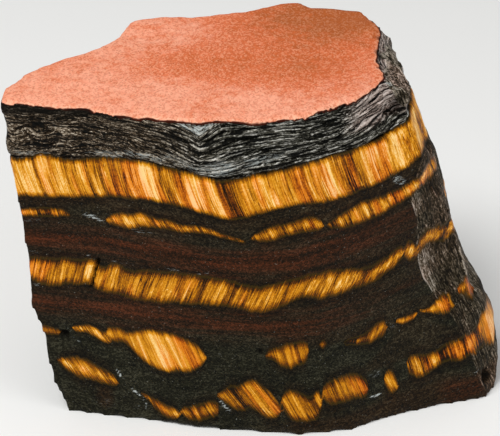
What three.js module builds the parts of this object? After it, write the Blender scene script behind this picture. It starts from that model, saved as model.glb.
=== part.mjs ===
// A rough block of tiger iron: tiger's eye seams between beds of ironstone and jasper, under a weathered
// skin, standing on a broken bed. Millimetres, +Z up, +X to the right and -Y towards the banded front face.
// The block is one stone, so the model is one mesh: the surface of a box whose walls are drawn out between
// the stone's arrises, whose lid is the weathered bedding plane and whose floor is the bed it stands on.
import * as THREE from "three";
import { mergeVertices } from "three/addons/utils/BufferGeometryUtils.js";
import { ImprovedNoise } from "three/addons/math/ImprovedNoise.js";

// The box's grid.
const FRONT_COLUMNS = 36; // steps along the front, and along the back
const END_COLUMNS = 18; // steps along each end
const PERIMETER = 2 * (FRONT_COLUMNS + END_COLUMNS);
const RIM_HEIGHT = 68; // the bedding plane on top, above the bed that the stone stands on
const LID_MIDDLE = new THREE.Vector3(-6, 3, RIM_HEIGHT);
const FLOOR_MIDDLE = new THREE.Vector3(5, 6, 0);
const MERGE_DISTANCE = 1e-3; // corners of neighbouring faces of the box this close are one

// How rough each part of the wall is: the most that its relief moves it.
const FRONT_RELIEF = 0.15; // the banded front is nearly flat
const HEMATITE_RELIEF = 0.6; // the ironstone bed under the rim is splintered
const END_RELIEF = 0.7; // the right end is torn along its fibres
const BACK_RELIEF = 1.3; // the back and the left end are broken
const HEMATITE_FLOOR = 56; // the ironstone bed reaches from here up to the rim
const BLEND = 3; // columns, and millimetres of height, over which one roughness turns into the next

// The grain of the relief: how far each kind of lump runs before it turns, its share and its own seed.
const LUMP = { along: 11, up: 7, share: 1.1, seed: 0 };
const SPLINTER = { along: 4.4, up: 2.2, share: 0.8, seed: 31 };
const FLUTE = { along: 4.5, up: 24, share: 1, seed: 7 };
const FLUTE_SPLINTERS = 0.5; // the splinters' share between the flutes
const STEP_RUN = 14; // how far a step runs before it dies out
const STEP_DEPTH = 1.8; // most that a bed is set back from the one below it
const STEP_RISE = 0.45; // half of the height that a step takes
const STEP_SHARE = 0.1; // the noise that a step has to pass before it shows
const FOLD = { along: 23, height: 3.2, seed: 9.3 }; // the beds' rise and fall along the broken back
const RIM_CALM = 0.6; // how much of the back's relief is lost where it meets the rim
const SKIN_SWELL = { along: 26, height: 0.8, seed: 2.4 }; // rise and fall of the weathered skin
const FLOOR_HOLLOW = { along: 13, height: 2.6, seed: 3.5 }; // scoops in the floor
const FLOOR_FLAT = 0.22; // the noise that a scoop has to pass, so most of the floor is level
const FOOT_ROUNDING = 5; // height over which the relief fades out towards the foot

// The arrises, from the foot to the rim, in order round the stone from its front left corner. "at" is the
// column of the box that each one takes, so that the facets meet along the mesh's own edges.
const ARRISES = [
  { at: 0, line: [[-36.6, -14.8, 0], [-39.5, -14, 6.5], [-40.5, -14, 12.5], [-40.7, -14, 18],
    [-42.8, -14, 22.5], [-43.5, -14, 36], [-45.3, -14, 54], [-46.8, -14.3, 68]] },
  { at: 7, line: [[-26, -17.4, 0], [-28, -18.6, 68]] },
  { at: 9, line: [[-20, -18.6, 0], [-23.6, -21.5, 68]] },
  { at: 12, line: [[-9.8, -21.6, 0], [-17, -22.9, 68]] },
  { at: 16, line: [[9.9, -23.9, 0], [6.9, -24.6, 8.5], [1, -24.6, 34], [-6, -24.7, 57], [-10, -24.8, 68]] },
  { at: 20, line: [[19.8, -22.4, 0], [0.5, -24, 68]] },
  { at: 24, line: [[27, -17.8, 0], [9.2, -21.6, 68]] },
  { at: 29, line: [[38.4, -12.9, 0], [20.7, -13.5, 68]] },
  { at: 36, line: [[48.2, -10, 0], [44.2, -10.5, 11], [39.6, -10.5, 20.5], [36, -10, 25], [33.2, -10, 31.5],
    [33.1, -10, 40.5], [31.3, -10, 45.2], [33.9, -8, 51.6], [30.9, -4.5, 60], [30.3, -3.5, 65.5],
    [26.5, -4, 68]] },
  { at: 40, line: [[50, -6, 0], [50.8, -3, 6], [47, -3, 19.3], [43.5, -2, 25.6], [42.6, -1, 29.5],
    [40, -1.5, 38], [37.1, -1, 48.2], [35.4, 0.5, 53.4], [32.1, 5, 60.2], [29.5, 6.5, 64.5],
    [25.5, 5, 68]] },
  { at: 44, line: [[50.5, 5, 0], [51.6, 8, 3.5], [49.3, 8, 12.3], [47.2, 8, 18], [43.2, 8, 24.5],
    [40, 8, 33], [35.5, 8, 50], [31, 9, 62], [25.4, 12.9, 68]] },
  { at: 48, line: [[47, 16, 0], [48, 17, 9], [44, 17.5, 22], [38, 17, 42], [32.6, 17, 56], [30.7, 17, 62.6],
    [25.3, 18, 68]] },
  { at: 51, line: [[43, 26, 0], [43, 27, 18], [37, 28, 42], [28.2, 24, 64], [25.3, 23, 68]] },
  { at: 54, line: [[34, 32, 0], [35, 34, 24], [30, 33.5, 46], [22.8, 32, 68]] },
  { at: 62, line: [[24, 37, 0], [26, 39.5, 16], [18, 36, 46], [12, 32.8, 68]] },
  { at: 65, line: [[15, 38, 0], [16, 40, 24], [12, 38, 50], [9.8, 36.4, 68]] },
  { at: 68, line: [[8, 38, 0], [9, 40.5, 22], [6.8, 36.4, 68]] },
  { at: 73, line: [[0, 37, 0], [-1, 38, 30], [-2.1, 30.5, 68]] },
  { at: 82, line: [[-16, 33, 0], [-17, 35, 20], [-15, 31, 45], [-14.3, 28, 68]] },
  { at: 87, line: [[-27, 29, 0], [-29, 30.5, 26], [-27, 28, 44], [-23.6, 25.4, 68]] },
  { at: 90, line: [[-32, 22, 0], [-34, 22, 30], [-29.5, 20, 54], [-26.1, 18, 68]] },
  { at: 94, line: [[-34, 13, 0], [-38, 14, 22], [-35, 13, 46], [-30, 12.6, 68]] },
  { at: 100, line: [[-36.5, 3, 0], [-40.5, 4.5, 20], [-39.5, 5.2, 50], [-38, 5.2, 68]] },
  { at: 104, line: [[-36.5, -5, 0], [-40.8, -4, 24], [-43, -2.5, 48], [-44, -1.6, 68]] },
  { at: 106, line: [[-36.4, -11, 0], [-41, -9.5, 22], [-44.2, -8.5, 50], [-46.5, -7.2, 68]] },
];

// Heights of the mesh's rows. A pair close together is a step, where one bed breaks back from the next.
const ROWS = [
  0, 1.2, 3.6, 6.5, 7.4, 10, 12.6, 13.4, 16.5, 19.5, 21.6, 22.4, 25.5, 28.5, 30.6, 31.4, 34.8, 38.1, 38.9,
  42.5, 46.6, 47.4, 51.5, 55.4, 57, 58.5, 59.6, 60.4, 62, 63.6, 65.2, 66.8, RIM_HEIGHT,
];
const STEPS = [7, 13, 22, 31, 38.5, 47, 60];

// Flat breaks: what lies beyond the plane through "on", facing "out", is struck off.
const BREAKS = [
  { on: [-9, -24, 68], out: [0, -0.9, 0.44] }, // the rim over the blunt front ridge
  { on: [6, 39, 12], out: [-0.12, 0.9, -0.42] }, // the foot of the back
  { on: [-40, 8, 10], out: [-0.9, 0.2, -0.38] }, // the foot of the left end
];

// Hollows: each is pressed in by "deep" and fades out at "wide".
const HOLLOWS = [
  { on: [27.6, -7, 62.6], wide: 4.8, deep: 2.4 }, // under the lip at the right of the ironstone
  { on: [31.4, 19.6, 60.6], wide: 3.4, deep: 1.2 }, // the notch down the back right arris
  { on: [-37.4, -15.6, 15.4], wide: 2.4, deep: 1.4 }, // the gap in the left of the lowest seam but one
  { on: [48.4, -7.6, 5.4], wide: 2.4, deep: 1.3 }, // the round pit at the foot of the right arris
  { on: [22, 39, 34], wide: 13, deep: 2.8 }, // a scoop out of the back
  { on: [-10, 35, 20], wide: 11, deep: 2 }, // another, lower
  { on: [-37, 9, 50], wide: 11, deep: 2 }, // a scoop out of the left end
];

const noise = new ImprovedNoise();
const { clamp, lerp, smoothstep } = THREE.MathUtils;

/** A column brought back into the box's own run of columns. */
function wrapped(column) {
  return ((column % PERIMETER) + PERIMETER) % PERIMETER;
}

/** The point of an arris at a height. */
function arrisPoint(line, z) {
  const next = Math.max(1, line.findIndex((p) => p[2] >= z));
  const below = new THREE.Vector3(...line[next - 1]);
  const above = new THREE.Vector3(...line[next]);
  return below.lerp(above, clamp((z - below.z) / (above.z - below.z), 0, 1));
}

/** The plain wall between two arrises, at a column (which may be a fraction) and a height. */
function plainWall(column, z) {
  const turn = wrapped(column);
  const i = ARRISES.findLastIndex((arris) => arris.at <= turn);
  const from = ARRISES[i];
  const to = ARRISES[(i + 1) % ARRISES.length];
  const span = (to.at || PERIMETER) - from.at;
  return arrisPoint(from.line, z).lerp(arrisPoint(to.line, z), (turn - from.at) / span);
}

/** The level direction out of the wall. */
function outward(column, z) {
  const along = plainWall(column + 1, z).sub(plainWall(column - 1, z));
  return new THREE.Vector3(along.y, -along.x, 0).normalize();
}

/** How much of the wall at a column belongs to the torn right end, and how much to the broken back. */
function sideShares(column) {
  const endStart = FRONT_COLUMNS;
  const backStart = FRONT_COLUMNS + END_COLUMNS;
  const end = smoothstep(column, endStart - 1, endStart + BLEND);
  const back = smoothstep(column, backStart - BLEND, backStart);
  const front = smoothstep(column, PERIMETER - BLEND, PERIMETER);
  return { end: end * (1 - back), back: back * (1 - front) };
}

/** Noise that runs "along" far along the wall and "up" far up it. */
function grained(point, { along, up, share, seed }) {
  return share * noise.noise(point.x / along + seed, point.y / along, point.z / up);
}

/** A wave over the plan of the stone. */
function planWave(point, { along, height, seed }) {
  return height * noise.noise(point.x / along + seed, point.y / along, seed);
}

/** The relief of the wall: lumps and splinters along the beds, and flutes up the torn end. */
function relief(point, { end, back }) {
  const splinters = clamp(grained(point, LUMP) + grained(point, SPLINTER), -1, 1);
  const flutes = grained(point, FLUTE) + FLUTE_SPLINTERS * splinters;
  const ironstone = smoothstep(point.z, HEMATITE_FLOOR, HEMATITE_FLOOR + BLEND);
  const front = lerp(FRONT_RELIEF, HEMATITE_RELIEF, ironstone) * (1 - end - back);
  const broad = BACK_RELIEF * back * (1 - RIM_CALM * ironstone);
  return (front + broad) * splinters + END_RELIEF * end * flutes;
}

/** How far the steps of the beds set the broken back in. Each comes and goes by noise of its own. */
function steps(point, z) {
  return STEPS.reduce((depth, level, i) => {
    const reach = noise.noise(point.x / STEP_RUN + i, point.y / STEP_RUN, i * i + 0.5);
    const above = smoothstep(z, level - STEP_RISE, level + STEP_RISE) - z / RIM_HEIGHT;
    return depth + STEP_DEPTH * smoothstep(reach, STEP_SHARE, 4 * STEP_SHARE) * above;
  }, 0);
}

/** The fold of the beds in the broken back, which dies out at the foot and at the rim. */
function fold(point, z) {
  const inside = smoothstep(z, 0, STEPS[1]) * (1 - smoothstep(z, STEPS.at(-1), RIM_HEIGHT));
  return planWave(point, FOLD) * inside;
}

/** The rise and fall of the bedding plane, which fades away down the wall. */
function swell(point, z) {
  return planWave(point, SKIN_SWELL) * smoothstep(z, HEMATITE_FLOOR, RIM_HEIGHT);
}

/** How high the floor stands off the ground: level over most of it, with a few shallow scoops. */
function floorRise(point, inside) {
  const level = FLOOR_HOLLOW.height * FLOOR_FLAT;
  return Math.max(0, planWave(point, FLOOR_HOLLOW) - level) * inside;
}

/** Strikes off what lies beyond each break's plane, and presses in each hollow. */
function broken(point, out) {
  for (const { on, out: facing } of BREAKS) {
    const normal = new THREE.Vector3(...facing).normalize();
    const beyond = point.clone().sub(new THREE.Vector3(...on)).dot(normal);
    if (beyond > 0) point.addScaledVector(normal, -beyond);
  }
  for (const { on, wide, deep } of HOLLOWS) {
    const reach = Math.min(1, point.distanceTo(new THREE.Vector3(...on)) / wide);
    point.addScaledVector(out, -deep * (1 - reach * reach) ** 2);
  }
  return point;
}

/** The finished wall. Its foot stays on the ground, where the floor meets it. */
function wall(column, z) {
  const point = plainWall(column, z);
  const out = outward(column, z);
  const shares = sideShares(wrapped(column));
  const fade = smoothstep(z, -FOOT_ROUNDING, FOOT_ROUNDING);
  point.addScaledVector(out, fade * (relief(point, shares) - shares.back * steps(point, z)));
  broken(point, out);
  point.z = z === 0 ? 0 : point.z + shares.back * fold(point, z) + swell(point, z);
  return point;
}

/** The column of the box that a point on its square section is in line with. */
function columnOf(a, b) {
  const reach = Math.max(Math.abs(a), Math.abs(b));
  const along = (a / reach + 1) / 2;
  const across = (b / reach + 1) / 2;
  if (across === 0) return FRONT_COLUMNS * along;
  if (along === 1) return FRONT_COLUMNS + END_COLUMNS * across;
  if (across === 1) return FRONT_COLUMNS + END_COLUMNS + FRONT_COLUMNS * (1 - along);
  return PERIMETER - END_COLUMNS * across;
}

/** The lid and the floor: the outline of the rim or the foot, drawn in towards a middle. */
function cap(a, b, middle) {
  const reach = 2 * Math.max(Math.abs(a), Math.abs(b));
  const point = middle.clone();
  if (reach > 0) point.lerp(wall(columnOf(a, b), middle.z), reach);
  point.z = middle.z > 0 ? middle.z + swell(point, middle.z) : floorRise(point, 1 - reach ** 4);
  return point;
}

/** A coordinate of the unit box, made exact where it is on the box's face. */
function snapped(value) {
  return Math.abs(value) > 0.5 - MERGE_DISTANCE ? Math.sign(value) / 2 : value;
}

/** Moves every vertex of a gridded box onto the stone, and stands the stone on the origin. */
function stoneGeometry() {
  const lastRow = ROWS.length - 1;
  const box = new THREE.BoxGeometry(1, 1, 1, FRONT_COLUMNS, END_COLUMNS, lastRow);
  box.deleteAttribute("normal");
  box.deleteAttribute("uv");
  const position = box.attributes.position;
  for (let i = 0; i < position.count; i += 1) {
    const a = snapped(position.getX(i));
    const b = snapped(position.getY(i));
    const row = Math.round((position.getZ(i) + 0.5) * lastRow);
    const onWall = Math.max(Math.abs(a), Math.abs(b)) === 0.5;
    const middle = row === 0 ? FLOOR_MIDDLE : LID_MIDDLE;
    const point = onWall ? wall(columnOf(a, b), ROWS[row]) : cap(a, b, middle);
    position.setXYZ(i, point.x, point.y, point.z);
  }
  const surface = mergeVertices(box, MERGE_DISTANCE);
  surface.computeBoundingBox();
  const { min, max } = surface.boundingBox;
  surface.translate(-(min.x + max.x) / 2, -(min.y + max.y) / 2, -min.z);
  surface.computeVertexNormals();
  return surface;
}

const ironstone = new THREE.MeshStandardMaterial({ color: 0x2b2723, roughness: 0.6, metalness: 0.1 });
const stone = new THREE.Mesh(stoneGeometry(), ironstone);
stone.name = "tiger_iron_block";

const block = new THREE.Group();
block.add(stone);

export default block;
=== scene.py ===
"""A rough block of banded tiger iron: golden tiger's eye between ironstone and jasper, under a pink skin.

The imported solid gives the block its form. A fine surface is drawn over a copy of it. Each mineral then says
where it lies on that surface, how it breaks, and how it looks. Lengths named _mm, and all places and
courses, are in millimetres; the rest are in metres.
"""

import logging
import math
from dataclasses import dataclass, field
from enum import Enum

import bmesh
import bpy
import numpy as np
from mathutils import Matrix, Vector, noise


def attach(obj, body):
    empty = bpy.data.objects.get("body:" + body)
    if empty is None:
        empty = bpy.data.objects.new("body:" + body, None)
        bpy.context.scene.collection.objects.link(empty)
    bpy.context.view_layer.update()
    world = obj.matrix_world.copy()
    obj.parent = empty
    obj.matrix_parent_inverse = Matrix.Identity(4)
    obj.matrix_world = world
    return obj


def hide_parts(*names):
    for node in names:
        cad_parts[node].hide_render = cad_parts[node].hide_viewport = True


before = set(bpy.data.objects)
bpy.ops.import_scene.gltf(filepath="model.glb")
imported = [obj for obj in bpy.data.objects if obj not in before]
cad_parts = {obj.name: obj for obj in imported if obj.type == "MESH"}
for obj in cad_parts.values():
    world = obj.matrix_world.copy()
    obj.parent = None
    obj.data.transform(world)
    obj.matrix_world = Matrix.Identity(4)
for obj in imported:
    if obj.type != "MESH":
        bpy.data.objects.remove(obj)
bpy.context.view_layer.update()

NODE = "tiger_iron_block"
MM = 0.001

COLOURS = {"data_type": "RGBA"}
NUMBERS = {"data_type": "FLOAT"}
SOFT = {"interpolation_type": "SMOOTHSTEP"}
TIMES = {"operation": "MULTIPLY"}
CLAMPED = {"operation": "ADD", "use_clamp": True}

log = logging.getLogger("tiger_iron")


def linear(hex_colour: str) -> tuple[float, float, float, float]:
    """Turn an sRGB hex colour into the linear colour that a shader takes.

    Args:
        hex_colour: The colour as "#rrggbb".

    Returns:
        Linear red, green and blue, and an alpha of 1.
    """
    channels = [int(hex_colour[i : i + 2], 16) / 255 for i in (1, 3, 5)]
    curve = [c / 12.92 if c <= 0.04045 else ((c + 0.055) / 1.055) ** 2.4 for c in channels]
    return (*curve, 1.0)


def ease(low: float, high: float, value: np.ndarray) -> np.ndarray:
    """Rise smoothly from 0 at low to 1 at high; where low is the larger, the rise is a fall."""
    share = np.clip((value - low) / (high - low), 0, 1)
    return share * share * (3 - 2 * share)


def bump(centre: float, width: float, value: np.ndarray) -> np.ndarray:
    """Give a soft hump of height 1 at centre that dies away over width."""
    return np.exp(-(((value - centre) / width) ** 2))


def within(low: float, high: float, soft: float, value: np.ndarray) -> np.ndarray:
    """Give 1 from low to high, and less over the soft reach beyond each."""
    return ease(low - soft, low, value) * ease(high + soft, high, value)


@dataclass(frozen=True)
class Grain:
    """A layer of noise, by how far it runs along each of three ways before it turns."""

    size_mm: tuple[float, float, float]
    seed: float
    detail: float = 2.0
    curl: float = 0.0

    def over(self, points_mm: np.ndarray) -> np.ndarray:
        """Give the noise at many points.

        Args:
            points_mm: The points, one in each row.

        Returns:
            One value for each point, from about -1 to 1.
        """
        scaled = points_mm / np.array(self.size_mm) + self.seed
        return np.array([noise.noise(point) for point in scaled.tolist()])


@dataclass(frozen=True)
class Course:
    """A smooth line through a few points: a value over each place."""

    points: tuple[tuple[float, float], ...]

    def at(self, place: np.ndarray) -> np.ndarray:
        """Give the line's value at each place.

        Args:
            place: The places.

        Returns:
            The value at each place, level beyond both ends.
        """
        xs, zs = (np.array(values) for values in zip(*self.points))
        slopes = np.gradient(zs, xs)
        place = np.clip(place, xs[0], xs[-1])
        i = np.clip(np.searchsorted(xs, place, side="right") - 1, 0, len(xs) - 2)
        span = xs[i + 1] - xs[i]
        t = (place - xs[i]) / span
        rise = 2 * t**3 - 3 * t**2 + 1
        start = (t**3 - 2 * t**2 + t) * span
        end = (t**3 - t**2) * span
        return rise * zs[i] + (1 - rise) * zs[i + 1] + start * slopes[i] + end * slopes[i + 1]


@dataclass(frozen=True)
class Patch:
    """A small part of the front that differs from what it lies in: a leaning ellipse."""

    x: float
    z: float
    wide: float
    high: float
    fall: float = 0.0  # how far it falls for each millimetre to the right
    share: float = 1.0

    def at(self, x: np.ndarray, z: np.ndarray) -> np.ndarray:
        """Give how much of the patch is at each place.

        Args:
            x: The places along X.
            z: The places along Z.

        Returns:
            The share at each, which fades out around the ellipse.
        """
        across = x - self.x
        reach = np.hypot(across / self.wide, (z - self.z + self.fall * across) / self.high)
        return self.share * ease(1.2, 0.5, reach)


@dataclass(frozen=True)
class Dent:
    """A pit: a point, a radius and a depth, which is negative where it swells instead."""

    x: float
    y: float
    z: float
    radius: float
    depth: float
    dark: float = 1.0  # share of painted shade in it

    def at(self, places: np.ndarray) -> np.ndarray:
        """Give how far into the pit each place is, from 0 at its lip to 1."""
        reach = np.linalg.norm(places - np.array([self.x, self.y, self.z]), axis=1)
        return ease(1.0, 0.3, reach / self.radius)


@dataclass(frozen=True)
class Crack:
    """An open crack across the front, wide at its top: its ends in X and Z, half its width, its depth."""

    top: tuple[float, float]
    foot: tuple[float, float]
    half: float
    depth: float

    def at(self, x: np.ndarray, z: np.ndarray) -> np.ndarray:
        """Measure how far into the crack each place is.

        Args:
            x: The places along X.
            z: The places along Z.

        Returns:
            The share of its depth at each, from 0 at its lips to 1.
        """
        share = np.clip((self.top[1] - z) / (self.top[1] - self.foot[1]), -0.2, 1.2)
        centre = self.top[0] + share * (self.foot[0] - self.top[0])
        half = self.half * (1 - 0.4 * np.clip(share, 0, 1))
        return within(0, 1, 0.1, share) * ease(1.2, 0.5, np.abs(x - centre) / half)


@dataclass(frozen=True)
class Bed:
    """A bed of another mineral, which fades out along the stone."""

    height: float
    reach: float
    share: float
    gone: float = -99.0  # the place along X where nothing of it is left
    full: float = -98.0  # and where the whole of it is there

    def at(self, x: np.ndarray, height: np.ndarray) -> np.ndarray:
        """Give how much of the bed is at each place."""
        return self.share * bump(self.height, self.reach, height) * ease(self.gone, self.full, x)


@dataclass(frozen=True)
class Stain:
    """A soft stain on the upper face."""

    x: float
    wide: float
    y: float
    deep: float
    share: float

    def at(self, x: np.ndarray, y: np.ndarray) -> np.ndarray:
        """Give how much of the stain is at each place."""
        return self.share * bump(self.x, self.wide, x) * bump(self.y, self.deep, y)


@dataclass(frozen=True)
class Spot:
    """A place along a seam where its silk changes."""

    place: float
    width: float
    strength: float

    @staticmethod
    def total(start: float, spots: tuple["Spot", ...], along: np.ndarray) -> np.ndarray:
        """Add a seam's spots to what it has all along.

        Args:
            start: What it has all along.
            spots: The places where it differs.
            along: Where each fibre is rooted.

        Returns:
            The sum at each fibre.
        """
        whole = np.full_like(along, start)
        for spot in spots:
            whole += spot.strength * bump(spot.place, spot.width, along)
        return whole


@dataclass(frozen=True)
class Seam:
    """A seam or a pod of tiger's eye, between an upper and a lower course."""

    name: str
    top: Course
    foot: Course
    lean: float  # how far the fibres lean to the left for each millimetre up
    turn: float = 0.0  # how the lean grows along the seam
    bow: float = 0.0  # how the lean grows with height
    glow: float = 0.0  # how much brighter or darker than the rest
    shade: float = 0.0  # how much darker its upper part is
    rust: float = 0.3  # share of orange rust in the silk
    varied: float = 1.0  # how strongly light and dark fibres differ
    soft: float = 0.7  # how far the dark of its borders reaches in
    blunt: float = 0.8  # how far each end rounds off
    near: float = -99.0  # where it starts along Y
    far: float = 99.0  # and where it ends
    # places where the painted sheen of the silk turns bright or dark along the seam
    flashes: tuple[Spot, ...] = ()
    rusts: tuple[Spot, ...] = ()

    def measure(self, x: np.ndarray, y: np.ndarray, z: np.ndarray,
                thin: np.ndarray) -> tuple[np.ndarray, np.ndarray]:
        """Measure where each place lies in the seam.

        Args:
            x: Places along X.
            y: Along Y.
            z: Along Z.
            thin: How much thinner than its courses the seam is there.

        Returns:
            The depth of each place inside the seam as a share of its soft border, negative outside it, and
            its rise from the middle, which is 1 at the top and -1 at the foot.
        """
        top, foot = self.top.at(x), self.foot.at(x)
        ends = np.minimum(x - self.top.points[0][0], self.top.points[-1][0] - x)
        ends = np.minimum(ends, np.minimum(y - self.near, self.far - y))
        cap = np.sqrt(1 - (1 - np.clip(ends / self.blunt, 0, 1)) ** 2)
        middle, half = (top + foot) / 2, (top - foot) / 2 * cap
        off = z - middle
        inside = np.where(ends > 0, half - thin - np.abs(off), -np.hypot(off, ends))
        border = np.minimum(self.soft, 0.15 + 0.6 * half)
        return inside / border, np.clip(off / np.maximum(half, 0.1), -1, 1)

    def root(self, x: np.ndarray, z: np.ndarray) -> np.ndarray:
        """Find where each point's fibre is rooted.

        Args:
            x: The points along X.
            z: The points along Z.

        Returns:
            The place of each fibre along the middle of the seam.
        """
        middle = np.mean([height for _, height in self.top.points + self.foot.points])
        rise = z - middle
        return x + (self.lean + self.turn * x) * rise + self.bow * rise * rise


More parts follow.
